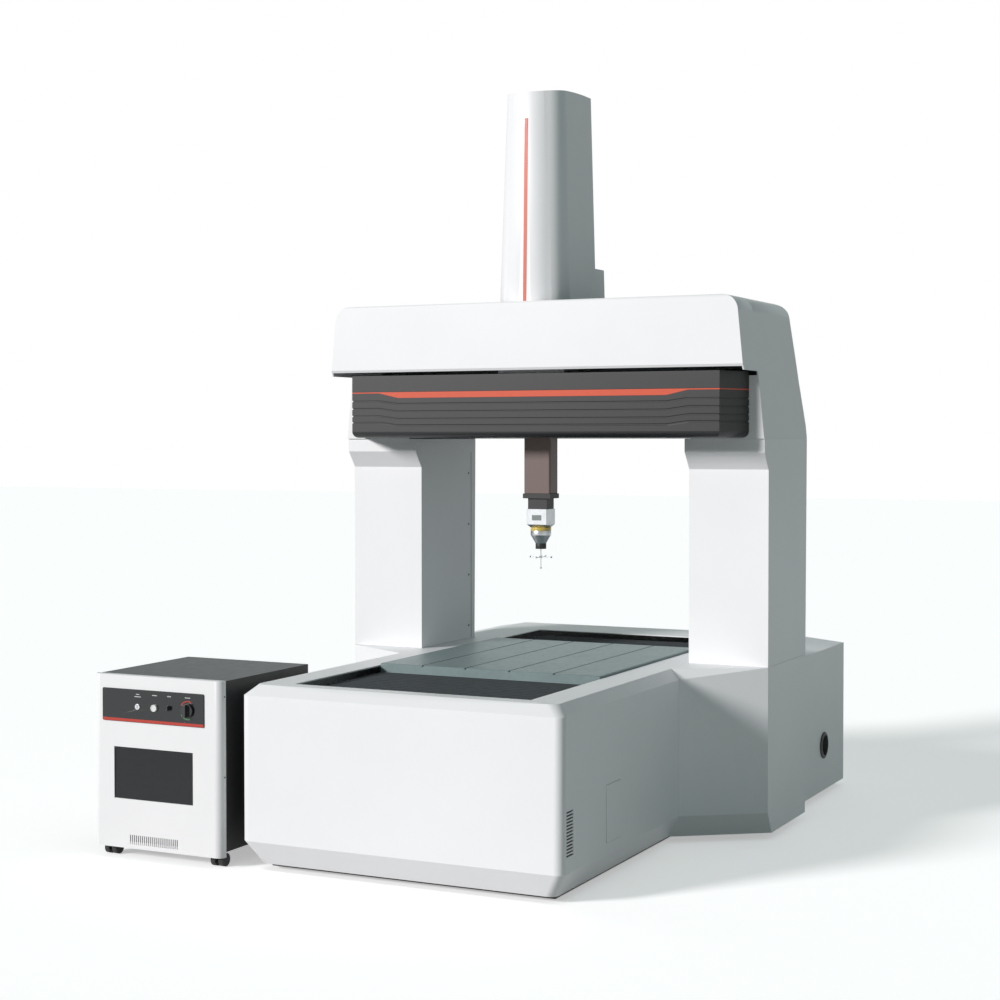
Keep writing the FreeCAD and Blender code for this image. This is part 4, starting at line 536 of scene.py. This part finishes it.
column_low, column_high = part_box("left_column_cover")
for i, z in enumerate((0.75, 0.98, 1.21, 1.44)):
    place = (column_high.x + PROUD, column_high.y - 70 * MM, z)
    disc(f"column_screw_{i}", place, 0, 5 * MM, 2 * MM, "machine", finishes["dark_knob"])

SEAM_SETBACK = 45 * MM
SEAM_WIDTH = 3 * MM
seam = block((column_high.x - 0.5 * MM, column_high.y - SEAM_SETBACK - SEAM_WIDTH, column_low.z + 1 * MM),
             (column_high.x + 0.4 * MM, column_high.y - SEAM_SETBACK, column_high.z - 60 * MM))
finish_piece(seam, "column_seam", "machine", finishes["black_plastic"])


# ---- probe plate ----
PLATE_INSET = 24 * MM
head_low, head_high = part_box("probe_head")
plate = block((head_low.x + PLATE_INSET, head_low.y - 0.6 * MM, head_low.z + 30 * MM),
              (head_high.x - PLATE_INSET, head_low.y + 0.2 * MM, head_low.z + 52 * MM), 0.2 * MM, 1)
finish_piece(plate, "probe_plate", "ram", print_ink("plate_grey", (0.22, 0.25, 0.25, 1)))


# ---- camera ----
CAMERA_PLACE = (3.1992, -7.0267, 1.603)
CAMERA_TILT = 90 - 1.387
CAMERA_ROLL = 0.03
CAMERA_TURN = 26.075

camera_data = bpy.data.cameras.new("camera")
camera_data.sensor_width = 36
camera_data.lens = 66.69
camera_data.shift_x = 0.00096
camera_data.shift_y = -0.01805
camera_data.clip_end = 60
camera = bpy.data.objects.new("camera", camera_data)
camera.location = CAMERA_PLACE
camera.rotation_euler = [math.radians(angle) for angle in (CAMERA_TILT, CAMERA_ROLL, CAMERA_TURN)]
bpy.context.scene.collection.objects.link(camera)
bpy.context.scene.camera = camera


# ---- floor, world and lamps ----
FLOOR_SIZE = 40
FLOOR_BOUNCE = 0.45     # the floor's level for the light that it throws back
FLOOR_GLOW = 0.42       # added where the camera sees it, so that it shows white
AMBIENT = (0.78, 0.97, 0.95, 1)
AMBIENT_LEVEL = 0.17
GLOSSY_SHARE = 0.35     # of the white backdrop in reflections

ground = Shader("floor")
seen = (ground.ray("Camera") + ground.ray("Glossy") + ground.ray("Transmission")).above(0.5)
dull = ground.node("ShaderNodeBsdfDiffuse", None, {"Color": grey(FLOOR_BOUNCE)})
bright = ground.node("ShaderNodeBsdfDiffuse", None, {"Color": grey(1.0)})
glow = ground.node("ShaderNodeEmission", None, {"Color": grey(1.0), "Strength": FLOOR_GLOW})
shown = ground.node("ShaderNodeAddShader", None, {0: bright, 1: glow})
both = ground.node("ShaderNodeMixShader", None, {0: seen, 1: dull, 2: shown})
ground.node("ShaderNodeOutputMaterial", None, {"Surface": both})

floor_mesh = bmesh.new()
bmesh.ops.create_grid(floor_mesh, x_segments=1, y_segments=1, size=FLOOR_SIZE)
floor = finish_piece(floor_mesh, "floor", None, ground.owner)

studio = Shader("studio", bpy.data.worlds)
ambient = studio.node("ShaderNodeBackground", None, {"Color": AMBIENT, "Strength": AMBIENT_LEVEL})
backdrop = studio.node("ShaderNodeBackground", None, {"Color": grey(1.0), "Strength": 1.0})
plain = studio.ray("Camera").larger(studio.ray("Transmission")).larger(studio.ray("Glossy") * GLOSSY_SHARE)
sky = studio.node("ShaderNodeMixShader", None, {0: plain, 1: ambient, 2: backdrop})
studio.node("ShaderNodeOutputWorld", None, {"Surface": sky})
bpy.context.scene.world = studio.owner


def sun(name, towards, strength, angle, colour=(1, 1, 1)):
    """Distant lamp that shines from a direction."""
    data = bpy.data.lights.new(name, "SUN")
    data.energy, data.angle, data.color = strength, math.radians(angle), colour
    lamp = bpy.data.objects.new(name, data)
    lamp.rotation_euler = Vector(towards).to_track_quat("Z", "Y").to_euler()
    bpy.context.scene.collection.objects.link(lamp)


sun("key", (-0.50, -0.74, 0.33), strength=3.2, angle=12, colour=(1.0, 0.975, 0.975))
sun("right_fill", (1.0, -0.25, 0.25), strength=0.22, angle=60, colour=(0.8, 1.0, 0.97))
sun("rear_fill", (-0.2, 1.0, 0.5), strength=0.30, angle=60, colour=(0.9, 1.0, 1.0))
bpy.context.scene.view_settings.view_transform = "Standard"
